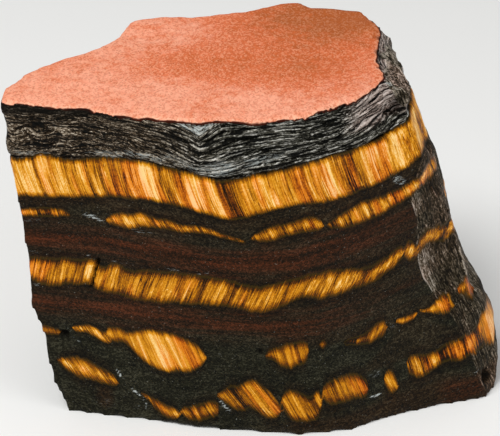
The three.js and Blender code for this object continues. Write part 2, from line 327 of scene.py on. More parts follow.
SEAMS = (
    Seam(
        "main",
        Course(((-52, 57.2), (-43.5, 56.7), (-42, 57.5), (-38, 56.9), (-24.5, 59), (-17, 58), (-7, 56.3),
                (3.5, 57.8), (13, 58.4), (26, 59.3), (28.6, 60), (29.6, 61.1), (31.5, 61.4), (38, 60.6),
                (52, 60))),
        Course(((-52, 48), (-41.5, 48.3), (-34.5, 49.2), (-23, 50.8), (-15.5, 50.2), (-6, 48.2),
                (5.5, 50.2), (11, 49.8), (25, 51.1), (31, 53.1), (40, 52.5), (52, 51.5))),
        lean=0.3, turn=0.002, bow=-0.012, glow=0.03, rust=0.4, soft=0.8,
        flashes=(Spot(-47.6, 1.4, -0.14), Spot(-45.2, 0.8, 0.02), Spot(-43.3, 0.8, -0.2),
                 Spot(-41, 0.8, 0.12), Spot(-33, 0.7, -0.14), Spot(-30.5, 0.5, -0.12),
                 Spot(-27.5, 0.9, -0.16), Spot(-26, 0.8, -0.1), Spot(-21.2, 1.3, 0.26),
                 Spot(-17.5, 1.2, -0.1), Spot(-13.2, 1.4, 0.24), Spot(-9.8, 1.2, 0.18), Spot(-7, 0.8, -0.16),
                 Spot(-5.6, 1.2, -0.1), Spot(2, 7, 0.035), Spot(3.6, 1.6, 0.18), Spot(8, 1.0, -0.1),
                 Spot(12.4, 1.6, 0.16), Spot(16.2, 1.3, -0.2), Spot(17.8, 0.4, -0.2), Spot(20, 1.2, 0.12),
                 Spot(23.5, 0.6, -0.2), Spot(26.5, 0.8, 0.24), Spot(29.4, 0.6, -0.12), Spot(30.9, 0.4, 0.16),
                 Spot(31.7, 0.3, -0.08), Spot(32.6, 0.6, 0.26)),
        rusts=(Spot(-46, 3, -0.3), Spot(-42.5, 1.2, 0.3), Spot(-23.5, 1.2, 0.5), Spot(-14, 2, 0.3),
               Spot(-9, 2, 0.3), Spot(9, 3, 0.3), Spot(21.5, 2, 0.5), Spot(30, 6, -0.35),
               Spot(-34, 4, -0.3)),
    ),
    Seam(
        "second, left",
        Course(((-52, 45), (-46.5, 45.1), (-43.6, 45.7), (-38.7, 46), (-36.6, 45.4))),
        Course(((-52, 43.4), (-43.7, 43.8), (-38.7, 44.4), (-36.6, 44.6))),
        lean=0.3, glow=-0.12, rust=0.5, varied=0.9, soft=0.9, far=6,
        flashes=(Spot(-42, 1.5, -0.2), Spot(-38.4, 1.2, 0.06)),
    ),
    Seam(
        "second, middle",
        Course(((-29.9, 45.2), (-27.9, 46.7), (-25.5, 47.4), (-23, 47.8), (-20.5, 47.1), (-17.7, 47),
                (-15.8, 46.4), (-11.7, 46.3), (-7.5, 45), (-3, 43.7))),
        Course(((-29.9, 44.4), (-28, 44), (-23, 44.7), (-19.3, 45), (-15.5, 44.6), (-11.7, 44.8),
                (-7.5, 44), (-3, 43.1))),
        lean=0.55, glow=-0.04, rust=0.1, soft=0.9, far=4,
        flashes=(Spot(-21.6, 0.7, 0.14), Spot(-17, 0.5, -0.12)),
    ),
    Seam(
        "second, right of the ridge",
        Course(((-2.3, 44.1), (0, 45.6), (7, 46.9), (10, 47), (11.8, 45.8))),
        Course(((-2.3, 43.7), (1.5, 43.3), (4.5, 44.2), (10, 44.2), (11.8, 44.4))),
        lean=0.45, glow=-0.04, rust=0.1, soft=0.9, far=2,
    ),
    Seam(
        "second, right",
        Course(((12.4, 45.4), (15, 46.4), (17, 47.1), (27, 48.4), (31, 50), (32.6, 50.5), (34.6, 50.2),
                (52, 49.2))),
        Course(((12.4, 44.4), (16, 43.5), (24, 44.4), (27, 45.3), (30, 46.5), (31.5, 46.5), (34.6, 47),
                (52, 46))),
        lean=0.4, glow=-0.1, rust=0.15, soft=0.9,
        flashes=(Spot(18, 1.2, 0.1), Spot(22, 0.8, 0.1), Spot(20.4, 0.6, -0.1), Spot(35, 2.4, 0.06)),
        rusts=(Spot(26, 2, 0.5),),
    ),
    Seam(
        "third",
        Course(((-52, 34.4), (-44.7, 34.7), (-40, 35.1), (-34.2, 35.5), (-32, 35.7), (-31.2, 34.7),
                (-28.3, 35.4), (-26.3, 35), (-19.5, 35.5), (-13.7, 35.5), (-7.5, 34.8), (1, 33.8),
                (7, 35.1), (10, 35.3), (17, 34.7), (20, 34.1), (22, 34.3), (24, 34.9), (26, 36), (27, 36.4),
                (27.9, 36), (28.7, 36.9), (29.5, 36.4), (30.3, 35.6), (31.3, 37.2), (34, 37), (36, 37.1),
                (38, 37), (52, 35.4))),
        Course(((-52, 29.8), (-44.9, 29.7), (-43.3, 29.1), (-37.3, 29.6), (-33, 30), (-31.4, 29.2),
                (-27.9, 28.7), (-23.5, 28.3), (-15.7, 28.8), (-6, 28.9), (-1, 28.3), (4, 29.2), (8, 30.9),
                (11, 30), (15, 30), (19, 30.5), (21, 30.6), (23, 31), (24, 31.8), (25, 32.3), (26, 32.7),
                (27, 33.5), (27.9, 33.8), (28.7, 33.1), (29.5, 32.5), (30.6, 33), (31.6, 33.9),
                (34.5, 33.6), (38, 33.2), (52, 32))),
        lean=-0.42, turn=-0.0045, glow=-0.005, shade=0.14, rust=0.05, varied=0.95, soft=1.2,
        flashes=(Spot(-46, 2, -0.12), Spot(-41.5, 1.2, -0.16), Spot(-37.2, 1.4, -0.16),
                 Spot(-33.6, 0.5, 0.08), Spot(-28.6, 1, 0.08), Spot(-25, 1.6, -0.14), Spot(-19, 1.4, -0.08),
                 Spot(-15, 0.5, 0.16), Spot(-8, 1, 0.1), Spot(-5, 0.5, -0.12), Spot(2, 1.2, 0.1),
                 Spot(6.4, 0.5, -0.12), Spot(12, 1.4, 0.08), Spot(15.8, 0.35, 0.2), Spot(17.9, 0.3, 0.16),
                 Spot(20.6, 0.9, -0.14), Spot(23.8, 0.5, -0.12), Spot(25.2, 1.4, -0.08),
                 Spot(27.2, 0.4, -0.3), Spot(28.7, 0.8, 0.02), Spot(30, 0.35, -0.36), Spot(32.4, 0.7, 0.1),
                 Spot(35.1, 0.7, -0.3), Spot(37.2, 0.8, 0.16)),
        rusts=(Spot(-46, 2, 0.7), Spot(-42, 1, 0.3), Spot(-22, 2, 0.3), Spot(-16, 3, 0.25),
               Spot(6, 3, 0.2)),
    ),
    Seam(
        "fourth, left end",
        Course(((-52, 19.6), (-42.5, 19.4), (-39.6, 18.8))),
        Course(((-52, 17.1), (-42.5, 17.3), (-39.6, 17.5))),
        lean=0.3, glow=-0.14, rust=0.0, varied=0.6, far=-12,
    ),
    Seam(
        "fourth, tail",
        Course(((-37.4, 19.9), (-35.5, 20.6), (-33.2, 20.6), (-31.3, 19.9), (-29.4, 18.5))),
        Course(((-37.4, 18.9), (-34.7, 18.9), (-32.6, 18.1), (-30.6, 17.2), (-29.4, 17))),
        lean=0.65, glow=-0.02, rust=0.05, blunt=0.9, far=-10,
    ),
    Seam(
        "fourth, great pod",
        Course(((-30.6, 20.7), (-28.1, 20.9), (-26.6, 20.4), (-23.7, 21.3), (-21.7, 21.6), (-18.8, 21.7),
                (-15.9, 21.1), (-13, 20), (-11.4, 18.3), (-10.6, 17.4))),
        Course(((-30.6, 18.2), (-29, 17.7), (-26.8, 17.7), (-25.2, 16.3), (-23.5, 14.5), (-21.5, 13.2),
                (-19, 12.6), (-16, 12.9), (-13, 13.9), (-11.4, 15.4), (-10.6, 16.6))),
        lean=0.45, turn=0.004, rust=0.15, varied=0.65, soft=1.0, blunt=0.6, far=-6,
        flashes=(Spot(-20.4, 1.1, 0.28), Spot(-23.4, 1.4, 0.12), Spot(-18.3, 0.4, -0.14),
                 Spot(-17.2, 0.4, 0.14), Spot(-11.8, 0.6, 0.1), Spot(-27.5, 2, -0.04)),
        rusts=(Spot(-14.6, 1.6, 0.7), Spot(-22.5, 2, 0.2), Spot(-28, 3, -0.3)),
    ),
    Seam(
        "fourth, small pod",
        Course(((0.8, 19.3), (2, 20.1), (3.6, 20.4), (5.5, 20.9), (8.4, 21), (9, 20.4), (9.4, 19.6))),
        Course(((0.8, 17.7), (2.4, 17.6), (3.4, 16.6), (4.6, 15.7), (5.9, 15.5), (6.9, 16.4), (7.9, 16.2),
                (9, 17.4), (9.4, 18.4))),
        lean=0.25, glow=-0.04, rust=0.0, varied=0.65, soft=1.2, blunt=0.5, far=-14,
        flashes=(Spot(7.1, 0.3, -0.3), Spot(8.3, 0.9, -0.12), Spot(1.4, 1.2, -0.16), Spot(6.6, 0.3, 0.14)),
    ),
    Seam(
        "fourth, speck",
        Course(((11.1, 20.5), (12, 21), (12.8, 20.3))),
        Course(((11.1, 19.9), (12, 19.2), (12.8, 19.7))),
        lean=0.3, glow=-0.2, rust=0.0, varied=0.5, soft=1.2, blunt=0.6, far=-14,
    ),
    Seam(
        "fourth, thread",
        Course(((16, 19.8), (18.3, 19.9), (20.3, 20.3), (21.7, 20.9), (22.9, 21.6), (24.1, 21.6),
                (24.8, 21))),
        Course(((16, 18.9), (18.3, 18.2), (20.3, 17.9), (21.7, 17.8), (22.9, 18.2), (24.1, 18.7),
                (24.8, 19.8))),
        lean=-0.3, glow=-0.06, rust=0.1, varied=0.7, soft=1.4, blunt=0.5, far=-10,
        flashes=(Spot(17.5, 2, -0.34), Spot(20.6, 1, -0.16), Spot(23, 1, 0.06)),
    ),
    Seam(
        "fourth, second thread",
        Course(((26.2, 21.2), (27.4, 21.6), (29, 21.5), (31, 21.9))),
        Course(((26.2, 20.8), (27.4, 20.3), (29, 20.1), (31, 21))),
        lean=-0.2, glow=-0.04, rust=0.4, varied=0.6, soft=0.9, far=-10,
    ),
    Seam(
        "fourth, right",
        Course(((31, 22), (33.6, 22.3), (34.8, 23.1), (36.8, 23.5), (38.1, 22.5), (39, 21.2))),
        Course(((31, 21.6), (34, 20.9), (37, 20.3), (39, 20.5))),
        lean=0.35, glow=0.0, rust=0.6, varied=0.8, soft=1.0, far=-13,
        flashes=(Spot(38.1, 0.5, 0.24), Spot(37.4, 0.3, -0.2)),
        rusts=(Spot(38.3, 0.7, -1.0),),
    ),
    Seam(
        "fourth, side",
        Course(((39.2, 23.8), (40.4, 24.2), (41.7, 24.2), (43, 22.8), (43.9, 21.6))),
        Course(((39.2, 22.6), (41.1, 21.4), (42.4, 20.7), (43.9, 20.2))),
        lean=0.2, glow=-0.05, rust=0.8, varied=0.8, soft=1.2, blunt=0.5, far=-8.6,
    ),
    Seam(
        "fifth, left",
        Course(((-40.8, 12.4), (-38, 12.7), (-36, 12.8), (-34, 12.3), (-32, 11.4), (-30, 10.4),
                (-28.2, 8.8))),
        Course(((-40.8, 11.4), (-38.5, 9.5), (-36.8, 8.5), (-33.7, 8.1), (-30.5, 7.4), (-28.2, 7.2))),
        lean=0.62, glow=-0.08, rust=0.0, varied=0.95, soft=1.6, blunt=1.2, far=-8,
        flashes=(Spot(-34.5, 1.6, 0.1), Spot(-29.5, 1.2, -0.12), Spot(-39.4, 1.0, -0.1)),
    ),
    Seam(
        "fifth, first pod",
        Course(((-24.1, 7), (-22.1, 5.9), (-19.1, 4.7), (-16, 3.5))),
        Course(((-24.1, 6.3), (-22.5, 4.9), (-21, 3.1), (-18.8, 1.6), (-17.2, 1.4), (-16, 2))),
        lean=0.5, glow=-0.08, rust=0.0, varied=0.7, soft=1.3, far=-14,
        flashes=(Spot(-22, 1, -0.08), Spot(-17.8, 0.9, 0.06)),
    ),
    Seam(
        "fifth, first pod's twin",
        Course(((-15.9, 4.4), (-14.1, 5.1), (-11.1, 6.3), (-9.7, 6.9), (-8.2, 6.4))),
        Course(((-15.9, 2.8), (-14, 2), (-12.7, 1.9), (-9.8, 3), (-8.2, 3.6))),
        lean=0.5, glow=-0.08, rust=0.1, varied=0.75, soft=1.3, blunt=0.6, far=-14,
        flashes=(Spot(-13.4, 0.8, 0.12), Spot(-11, 0.8, -0.16)),
    ),
    Seam(
        "fifth, second pod",
        Course(((-8.9, 8.7), (-7.1, 10), (-5.9, 10.9), (-4.6, 10.7), (-2.6, 12.3), (-1.4, 12.6),
                (0.7, 10.9), (2.9, 8.7), (4.1, 6.4))),
        Course(((-8.9, 8), (-7, 6.7), (-5.6, 5.7), (-3.6, 5), (-2.2, 5.9), (-0.7, 5.1), (1.6, 3.8),
                (3.1, 4.2), (4.1, 5.2))),
        lean=0.7, glow=-0.04, rust=0.15, varied=0.95, soft=1.2, far=-12,
        flashes=(Spot(-4.1, 0.6, -0.36), Spot(-0.6, 1.3, 0.1), Spot(2.2, 0.8, -0.04)),
        rusts=(Spot(1.6, 1.5, 0.5),),
    ),
    Seam(
        "fifth, third pod",
        Course(((3.8, 9), (4.6, 10.1), (6.2, 10.5), (8, 9.8), (9.2, 8.6), (10, 8.8), (11, 10),
                (11.8, 9.6))),
        Course(((3.8, 7.6), (4.6, 5.8), (5.6, 4.2), (7.6, 3.4), (9.2, 3.1), (10.4, 3.2), (11.8, 4.6))),
        lean=0.45, glow=-0.09, rust=0.0, varied=0.8, soft=1.2, blunt=0.5, far=-13,
        flashes=(Spot(9.8, 1.0, -0.2), Spot(7.4, 0.3, 0.14)),
    ),
    Seam(
        "fifth, fourth pod",
        Course(((11.8, 10.4), (13, 11.5), (15, 12.1), (16.6, 12.4), (18.4, 11.9), (19.6, 11.2),
                (20.6, 10.2), (21.3, 8.8))),
        Course(((11.8, 8.2), (12.7, 7.2), (13.9, 6.4), (16, 6.6), (19, 6.6), (20.6, 6.5), (21.3, 7))),
        lean=0.4, glow=-0.03, rust=0.15, varied=0.7, soft=1.3, blunt=0.5, far=-10,
        flashes=(Spot(14.6, 0.4, -0.16), Spot(20.4, 1.4, -0.16), Spot(12.6, 0.4, -0.1)),
        rusts=(Spot(19.5, 1.6, 0.4),),
    ),
    Seam(
        "fifth, bead",
        Course(((24.2, 10), (25.2, 10.6), (26.2, 10), (27, 8.2), (27.5, 7.2))),
        Course(((24.2, 9), (25, 6.9), (25.7, 5.8), (26.8, 5.6), (27.5, 6.2))),
        lean=0.4, glow=0.0, rust=0.1, varied=0.8, soft=1.7, blunt=0.5, far=-10,
    ),
    Seam(
        "fifth, right",
        Course(((28.8, 12.1), (29.8, 12.6), (31, 12.5), (33.7, 12.2), (35.3, 12.9), (36.8, 13.7),
                (38.8, 13.9), (40.2, 14.6), (42, 14.8), (43.8, 14.9), (45.4, 14))),
        Course(((28.8, 10.6), (29.3, 9.4), (30.4, 8), (33.4, 7.8), (35.3, 9.2), (37, 9.8), (39.3, 9.6),
                (40.6, 9.7), (42, 10.6), (44.3, 10), (45.4, 10.4))),
        lean=0.3, glow=-0.02, rust=0.35, varied=1.1, soft=1.2, blunt=0.5, far=-5,
        flashes=(Spot(36.6, 1.1, -0.3), Spot(31.8, 0.4, -0.16), Spot(39.5, 0.7, 0.18), Spot(41, 0.6, -0.3),
                 Spot(34.8, 0.5, 0.1), Spot(42.4, 0.5, 0.08), Spot(44, 0.9, -0.3)),
        rusts=(Spot(38, 1.6, 0.4), Spot(42.4, 1, 0.5)),
    ),
    Seam(
        "fifth, flame",
        Course(((43.6, 15.4), (44.8, 17.2), (45.7, 16.8), (46.8, 14), (47.8, 11.8), (52, 10.8))),
        Course(((43.8, 12), (44.8, 10.8), (46.4, 9.4), (48, 8.6), (52, 8))),
        lean=0.3, glow=-0.02, rust=0.8, varied=0.8, soft=1.2, blunt=0.8, far=1,
        flashes=(Spot(43.6, 0.7, -0.34), Spot(46.7, 0.5, 0.2), Spot(45.4, 0.5, 0.08)),
        rusts=(Spot(47, 0.8, -0.8),),
    ),
    Seam(
        "back, first pod",
        Course(((-33, 16), (-26, 19), (-15, 18), (-6, 15.5))),
        Course(((-33, 15.4), (-25, 13), (-14, 13.5), (-6, 14.8))),
        lean=-0.3, rust=0.3, soft=1.0, blunt=2.5, near=8,
    ),
    Seam(
        "back, second pod",
        Course(((0, 20), (8, 22.5), (16, 22), (24, 19))),
        Course(((0, 19), (8, 18), (15, 19), (24, 18.4))),
        lean=-0.2, rust=0.15, soft=1.0, blunt=2.0, near=9,
    ),
    Seam(
        "back, third pod",
        Course(((6, 8), (12, 11), (20, 10), (31, 8.5))),
        Course(((6, 7), (13, 5), (21, 6), (31, 7.6))),
        lean=0.4, rust=0.35, soft=1.0, blunt=2.0, near=7,
    ),
    Seam(
        "back, fourth pod",
        Course(((-28, 8), (-20, 9.6), (-9, 7.5))),
        Course(((-28, 7), (-19, 5), (-9, 6.5))),
        lean=0.4, rust=0.1, soft=1.0, blunt=2.0, near=7,
    ),
)

RIM_START = SEAMS[0].top  # the splintered rim lies on the main seam


class Field(Enum):
    """What the fine surface tells its material at every vertex."""

    BEDS = "beds"  # x, y and the height measured from the folded beds
    FIBRE = "fibre"  # along the seam, through it, and along the fibre
    FALL = "fall"  # x measured from the slope of the right end, y, and the height
    SEAM = "seam"  # how deep inside a seam of tiger's eye, as a share of its soft border
    FLASH = "flash"  # how the silk of the seam catches the light there
    RUST = "rust"  # share of orange rust in the silk
    VARIED = "varied"  # how strongly light and dark fibres differ
    JASPER = "jasper"  # share of red jasper in the bed
    RIM = "rim"  # how far inside the splintered bed under the skin
    PLATE = "plate"  # the count of thin plates up through that bed
    LEDGE = "ledge"  # how strongly those plates stand apart
    EDGE = "edge"  # how far to the right of the torn end's edge
    WORN_CREST_HIGHLIGHT = "worn_crest_highlight"  # how far from the nearest crest on the torn end, which is worn and has a painted highlight
    SHEEN = "sheen"  # share of grey sheen on the torn end
    SKIN = "skin"  # how far inside the weathered skin
    AGE = "age"  # how brown the skin has weathered
    WARM = "warm"  # how brown the ironstone is, on the beds, the rim and the torn end
    DUST = "dust"  # share of pale dust on worn ledges
    GLINT = "glint"  # share of painted glints off specular iron
    PAINTED_SHADE = "painted_shade"  # share of painted shade in pits, the crack and just under the skin's left edge


Told = dict[Field, np.ndarray]


@dataclass
class Site:
    """The vertices of the fine surface before it is broken up."""

    places: np.ndarray
    normals: np.ndarray

    def __post_init__(self) -> None:
        """Split the places and find which way each one faces."""
        self.x, self.y, self.z = self.places.T
        self.up = self.normals[:, 2]
        self.front = ease(-0.1, -0.4, self.normals[:, 1])  # 1 where it faces the front
        self.behind = ease(-6, 14, self.y)  # 1 behind the middle of the stone


class Paint:
    """The one layered material of the stone: raw tiger iron."""

    def __init__(self, name: str) -> None:
        """Start an empty material and read the surface's fields.

        Args:
            name: The material's name.
        """
        self.material = bpy.data.materials.new(name)
        self.material.use_nodes = True
        self.tree = self.material.node_tree
        self.tree.nodes.clear()
        vectors = (Field.BEDS, Field.FIBRE, Field.FALL)
        self.told = {
            name: self.add("Attribute", out="Vector" if name in vectors else "Fac",
                           attribute_name=name.value)
            for name in Field
        }

    def add(self, kind: str, *inputs: object, named: dict | None = None, out: str | None = None,
            stops: tuple = (), **settings: object) -> bpy.types.NodeSocket:
        """Add one node with its settings and links.

        Args:
            kind: The node type, without "ShaderNode".
            *inputs: A value or another node's output for each input, in order.
            named: The same, by name.
            out: The name of the output to return, or None for the first.
            stops: A colour ramp's places and colours.
            **settings: The node's own properties.

        Returns:
            The node's output.
        """
        node = self.tree.nodes.new("ShaderNode" + kind)
        for name, value in settings.items():
            setattr(node, name, value)
        for i, (place, colour) in enumerate(stops):
            stop = node.color_ramp.elements[i] if i < 2 else node.color_ramp.elements.new(place)
            stop.position = place
            stop.color = linear(colour)
        sockets = list(zip([socket for socket in node.inputs if socket.enabled], inputs))
        sockets += [(node.inputs[name], value) for name, value in (named or {}).items()]
        for socket, value in sockets:
            if isinstance(value, bpy.types.NodeSocket):
                self.tree.links.new(value, socket)
            else:
                socket.default_value = value
        shown = [socket for socket in node.outputs if socket.enabled and out in (None, socket.name)]
        return shown[0] if shown else None

    def grain(self, place: Field, grain: Grain) -> bpy.types.NodeSocket:
        """Lay noise over a field that holds millimetres.

        Args:
            place: The field.
            grain: The noise.

        Returns:
            The noise, from 0 to 1 and mostly near a half.
        """
        scale = tuple(1 / size for size in grain.size_mm)
        spread = self.add("VectorMath", self.told[place], scale, (grain.seed,) * 3,
                          operation="MULTIPLY_ADD")
        return self.add("TexNoise", named={"Vector": spread, "Scale": 1.0, "Detail": grain.detail,
                                           "Roughness": 0.6, "Distortion": grain.curl})

    def grit(self, place: Field, size_mm: tuple[float, float, float]) -> bpy.types.NodeSocket:
        """Lay grains over a field that holds millimetres.

        Args:
            place: The field.
            size_mm: How far a grain reaches along each of the field's ways.

        Returns:
            One value for each grain, from 0 to 1.
        """
        scaled = self.add("VectorMath", self.told[place], tuple(1 / size for size in size_mm), **TIMES)
        cells = self.add("TexVoronoi", named={"Vector": scaled, "Scale": 1.0}, out="Color")
        return self.add("SeparateColor", cells)

    def line(self, place: object, half: float, fade: float) -> bpy.types.NodeSocket:
        """Give a thin line where a value passes zero: 1 within half of it, and 0 beyond fade."""
        off = self.add("Math", place, operation="ABSOLUTE")
        return self.add("MapRange", off, fade, half, **SOFT)

    def total(self, *terms: tuple[object, float], start: float = 0.0) -> bpy.types.NodeSocket:
        """Add numbers up, each times its weight.

        Args:
            *terms: Each number and its weight.
            start: What the sum starts from.

        Returns:
            The sum.
        """
        whole: object = start
        for value, weight in terms:
            whole = self.add("Math", value, weight, whole, operation="MULTIPLY_ADD")
        return whole


@dataclass
class Layer:
    """What one mineral gives the shader: its colour, its gloss, its fine height, and where it shows."""

    colour: object
    roughness: float
    height_mm: object
    share: object


@dataclass(frozen=True)
class TigersEye:
    """Quartz grown over crocidolite, broken across its fibres: silky, and banded from honey to cream."""

    shade: str = "#140a00"
    brown: str = "#5a2f02"
    honey: str = "#965802"
    gold: str = "#c98008"
    straw: str = "#eaa32c"
    cream: str = "#ffd78c"
    olive: str = "#4a3800"
    ember: str = "#5c2600"
    rust: str = "#a65002"
    orange: str = "#d97a0e"
    salmon: str = "#f0942e"
    blush: str = "#ffca88"
    roughness: float = 0.4
    thread: Grain = Grain((0.24, 0.7, 9.0), 3.1, 2.0)  # a real fibre is 0.05 mm: drawn as wide as it shows
    strand: Grain = Grain((0.8, 1.6, 14.0), 9.4, 1.0)
    band: Grain = Grain((1.0, 2.0, 16.0), 17.7, 1.5)
    sweep: Grain = Grain((5.5, 11.0, 40.0), 41.3, 1.0)
    sugar_mm: tuple[float, float, float] = (0.26, 0.26, 0.26)  # quartz grains, coarser than real
    stain: Grain = Grain((2.0, 5.0, 14.0), 63.2, 1.0)
    lip: Grain = Grain((2.6, 2.6, 60.0), 9.1)  # the seams' uneven borders
    lip_mm: float = 0.28
    burr: Grain = Grain((0.9, 0.9, 60.0), 2.2)
    burr_mm: float = 0.16
    ridge: Grain = Grain((0.9, 1.6, 12.0), 4.1)
    ridge_mm: float = 0.07
    swell_mm: float = 0.12

    def lie(self, site: Site, level: np.ndarray, pinch: np.ndarray) -> Told:
        """Find the seams.

        Args:
            site: The surface.
            level: The height of each place, as the beds wander through the block.
            pinch: How much thinner the seams are at each place.

        Returns:
            The seams' fields.
        """
        uneven = self.lip_mm * self.lip.over(site.places) + self.burr_mm * self.burr.over(site.places)
        count = len(site.x)
        depth = np.full(count, -9.0)
        told = {name: np.zeros(count) for name in (Field.FLASH, Field.RUST)}
        told[Field.VARIED] = np.ones(count)
        fibre = np.stack([site.x, site.y, site.z], 1)
        for seam in SEAMS:
            own, rise = seam.measure(site.x, site.y, level + uneven, pinch)
            nearest = own > depth
            depth = np.where(nearest, own, depth)
            root = seam.root(site.x, level)
            flash = Spot.total(seam.glow, seam.flashes, root) - seam.shade * ease(0.1, 1, rise)
            fibre[:, 0] = np.where(nearest, root, fibre[:, 0])
            told[Field.FLASH] = np.where(nearest, flash, told[Field.FLASH])
            told[Field.RUST] = np.where(nearest, Spot.total(seam.rust, seam.rusts, root), told[Field.RUST])
            told[Field.VARIED] = np.where(nearest, seam.varied, told[Field.VARIED])
            log.info("seam %s: %d vertices", seam.name, np.count_nonzero(own > 0))
        return {**told, Field.SEAM: depth, Field.FIBRE: fibre}

    def relief(self, told: Told) -> np.ndarray:
        """Work out how far the silk stands out.

        Args:
            told: The fields.

        Returns:
            The height at each place, in millimetres.
        """
        inside = ease(-0.1, 0.4, told[Field.SEAM])
        swell = self.swell_mm * ease(0, 2.2, told[Field.SEAM])
        return self.ridge_mm * self.ridge.over(told[Field.FIBRE]) * inside + swell

    def dress(self, paint: Paint) -> Layer:
        """Dress the seams: threads and bands of silk, rusty in places, that darken to olive at the borders.

        Args:
            paint: The material.

        Returns:
            The mineral's layer.
        """
        thread, strand, band, sweep = (
            paint.grain(Field.FIBRE, g) for g in (self.thread, self.strand, self.band, self.sweep))
        sugar = paint.grit(Field.BEDS, self.sugar_mm)
        # thin bright threads: painted highlights along single fibres
        bright = paint.line(paint.add("Math", strand, 0.5, operation="SUBTRACT"), 0.0, 0.022)
        dark = paint.line(paint.add("Math", band, 0.46, operation="SUBTRACT"), 0.0, 0.03)
        depth = paint.total((thread, 0.8), (sugar, 0.14), (paint.told[Field.SEAM], 1.0), start=-0.47)
        border = paint.add("MapRange", depth, 1.5, 0.0, **SOFT)
        spread = paint.total((thread, 1.2), (band, 1.2), (sweep, 0.6), (sugar, 0.16), (dark, -0.13),
                             (bright, 0.18), start=-1.59)
        spread = paint.add("Math", spread, paint.told[Field.VARIED], **TIMES)
        spread = paint.add("Math", spread, paint.total((border, -0.6), start=1.0), **TIMES)
        # the flash is painted sheen: it brightens or darkens whole bands of fibres in place of the silk's
        # chatoyant reflection
        light = paint.total((spread, 1.0), (paint.told[Field.FLASH], 1.0), (border, -0.34), start=0.56)
        tones = (0.02, 0.2, 0.37, 0.55, 0.73, 0.96)
        golden, rusty = (
            paint.add("ValToRGB", light, stops=tuple(zip(tones, colours)))
            for colours in (
                (self.shade, self.brown, self.honey, self.gold, self.straw, self.cream),
                (self.shade, self.ember, self.rust, self.orange, self.salmon, self.blush)))
        stain = paint.total((paint.grain(Field.FIBRE, self.stain), 1.0), (paint.told[Field.RUST], 0.4),
                            (border, -0.16))
        rust = paint.add("MapRange", stain, 0.57, 0.82, **SOFT)
        colour = paint.add("Mix", rust, golden, rusty, **COLOURS)
        olive = paint.add("Math", paint.add("MapRange", depth, 0.6, -0.1, **SOFT), 0.7, **TIMES)
        colour = paint.add("Mix", olive, colour, linear(self.olive), **COLOURS)
        return Layer(colour, self.roughness, paint.add("Math", thread, 0.14, **TIMES),
                     paint.add("MapRange", depth, -0.4, 0.35, **SOFT))


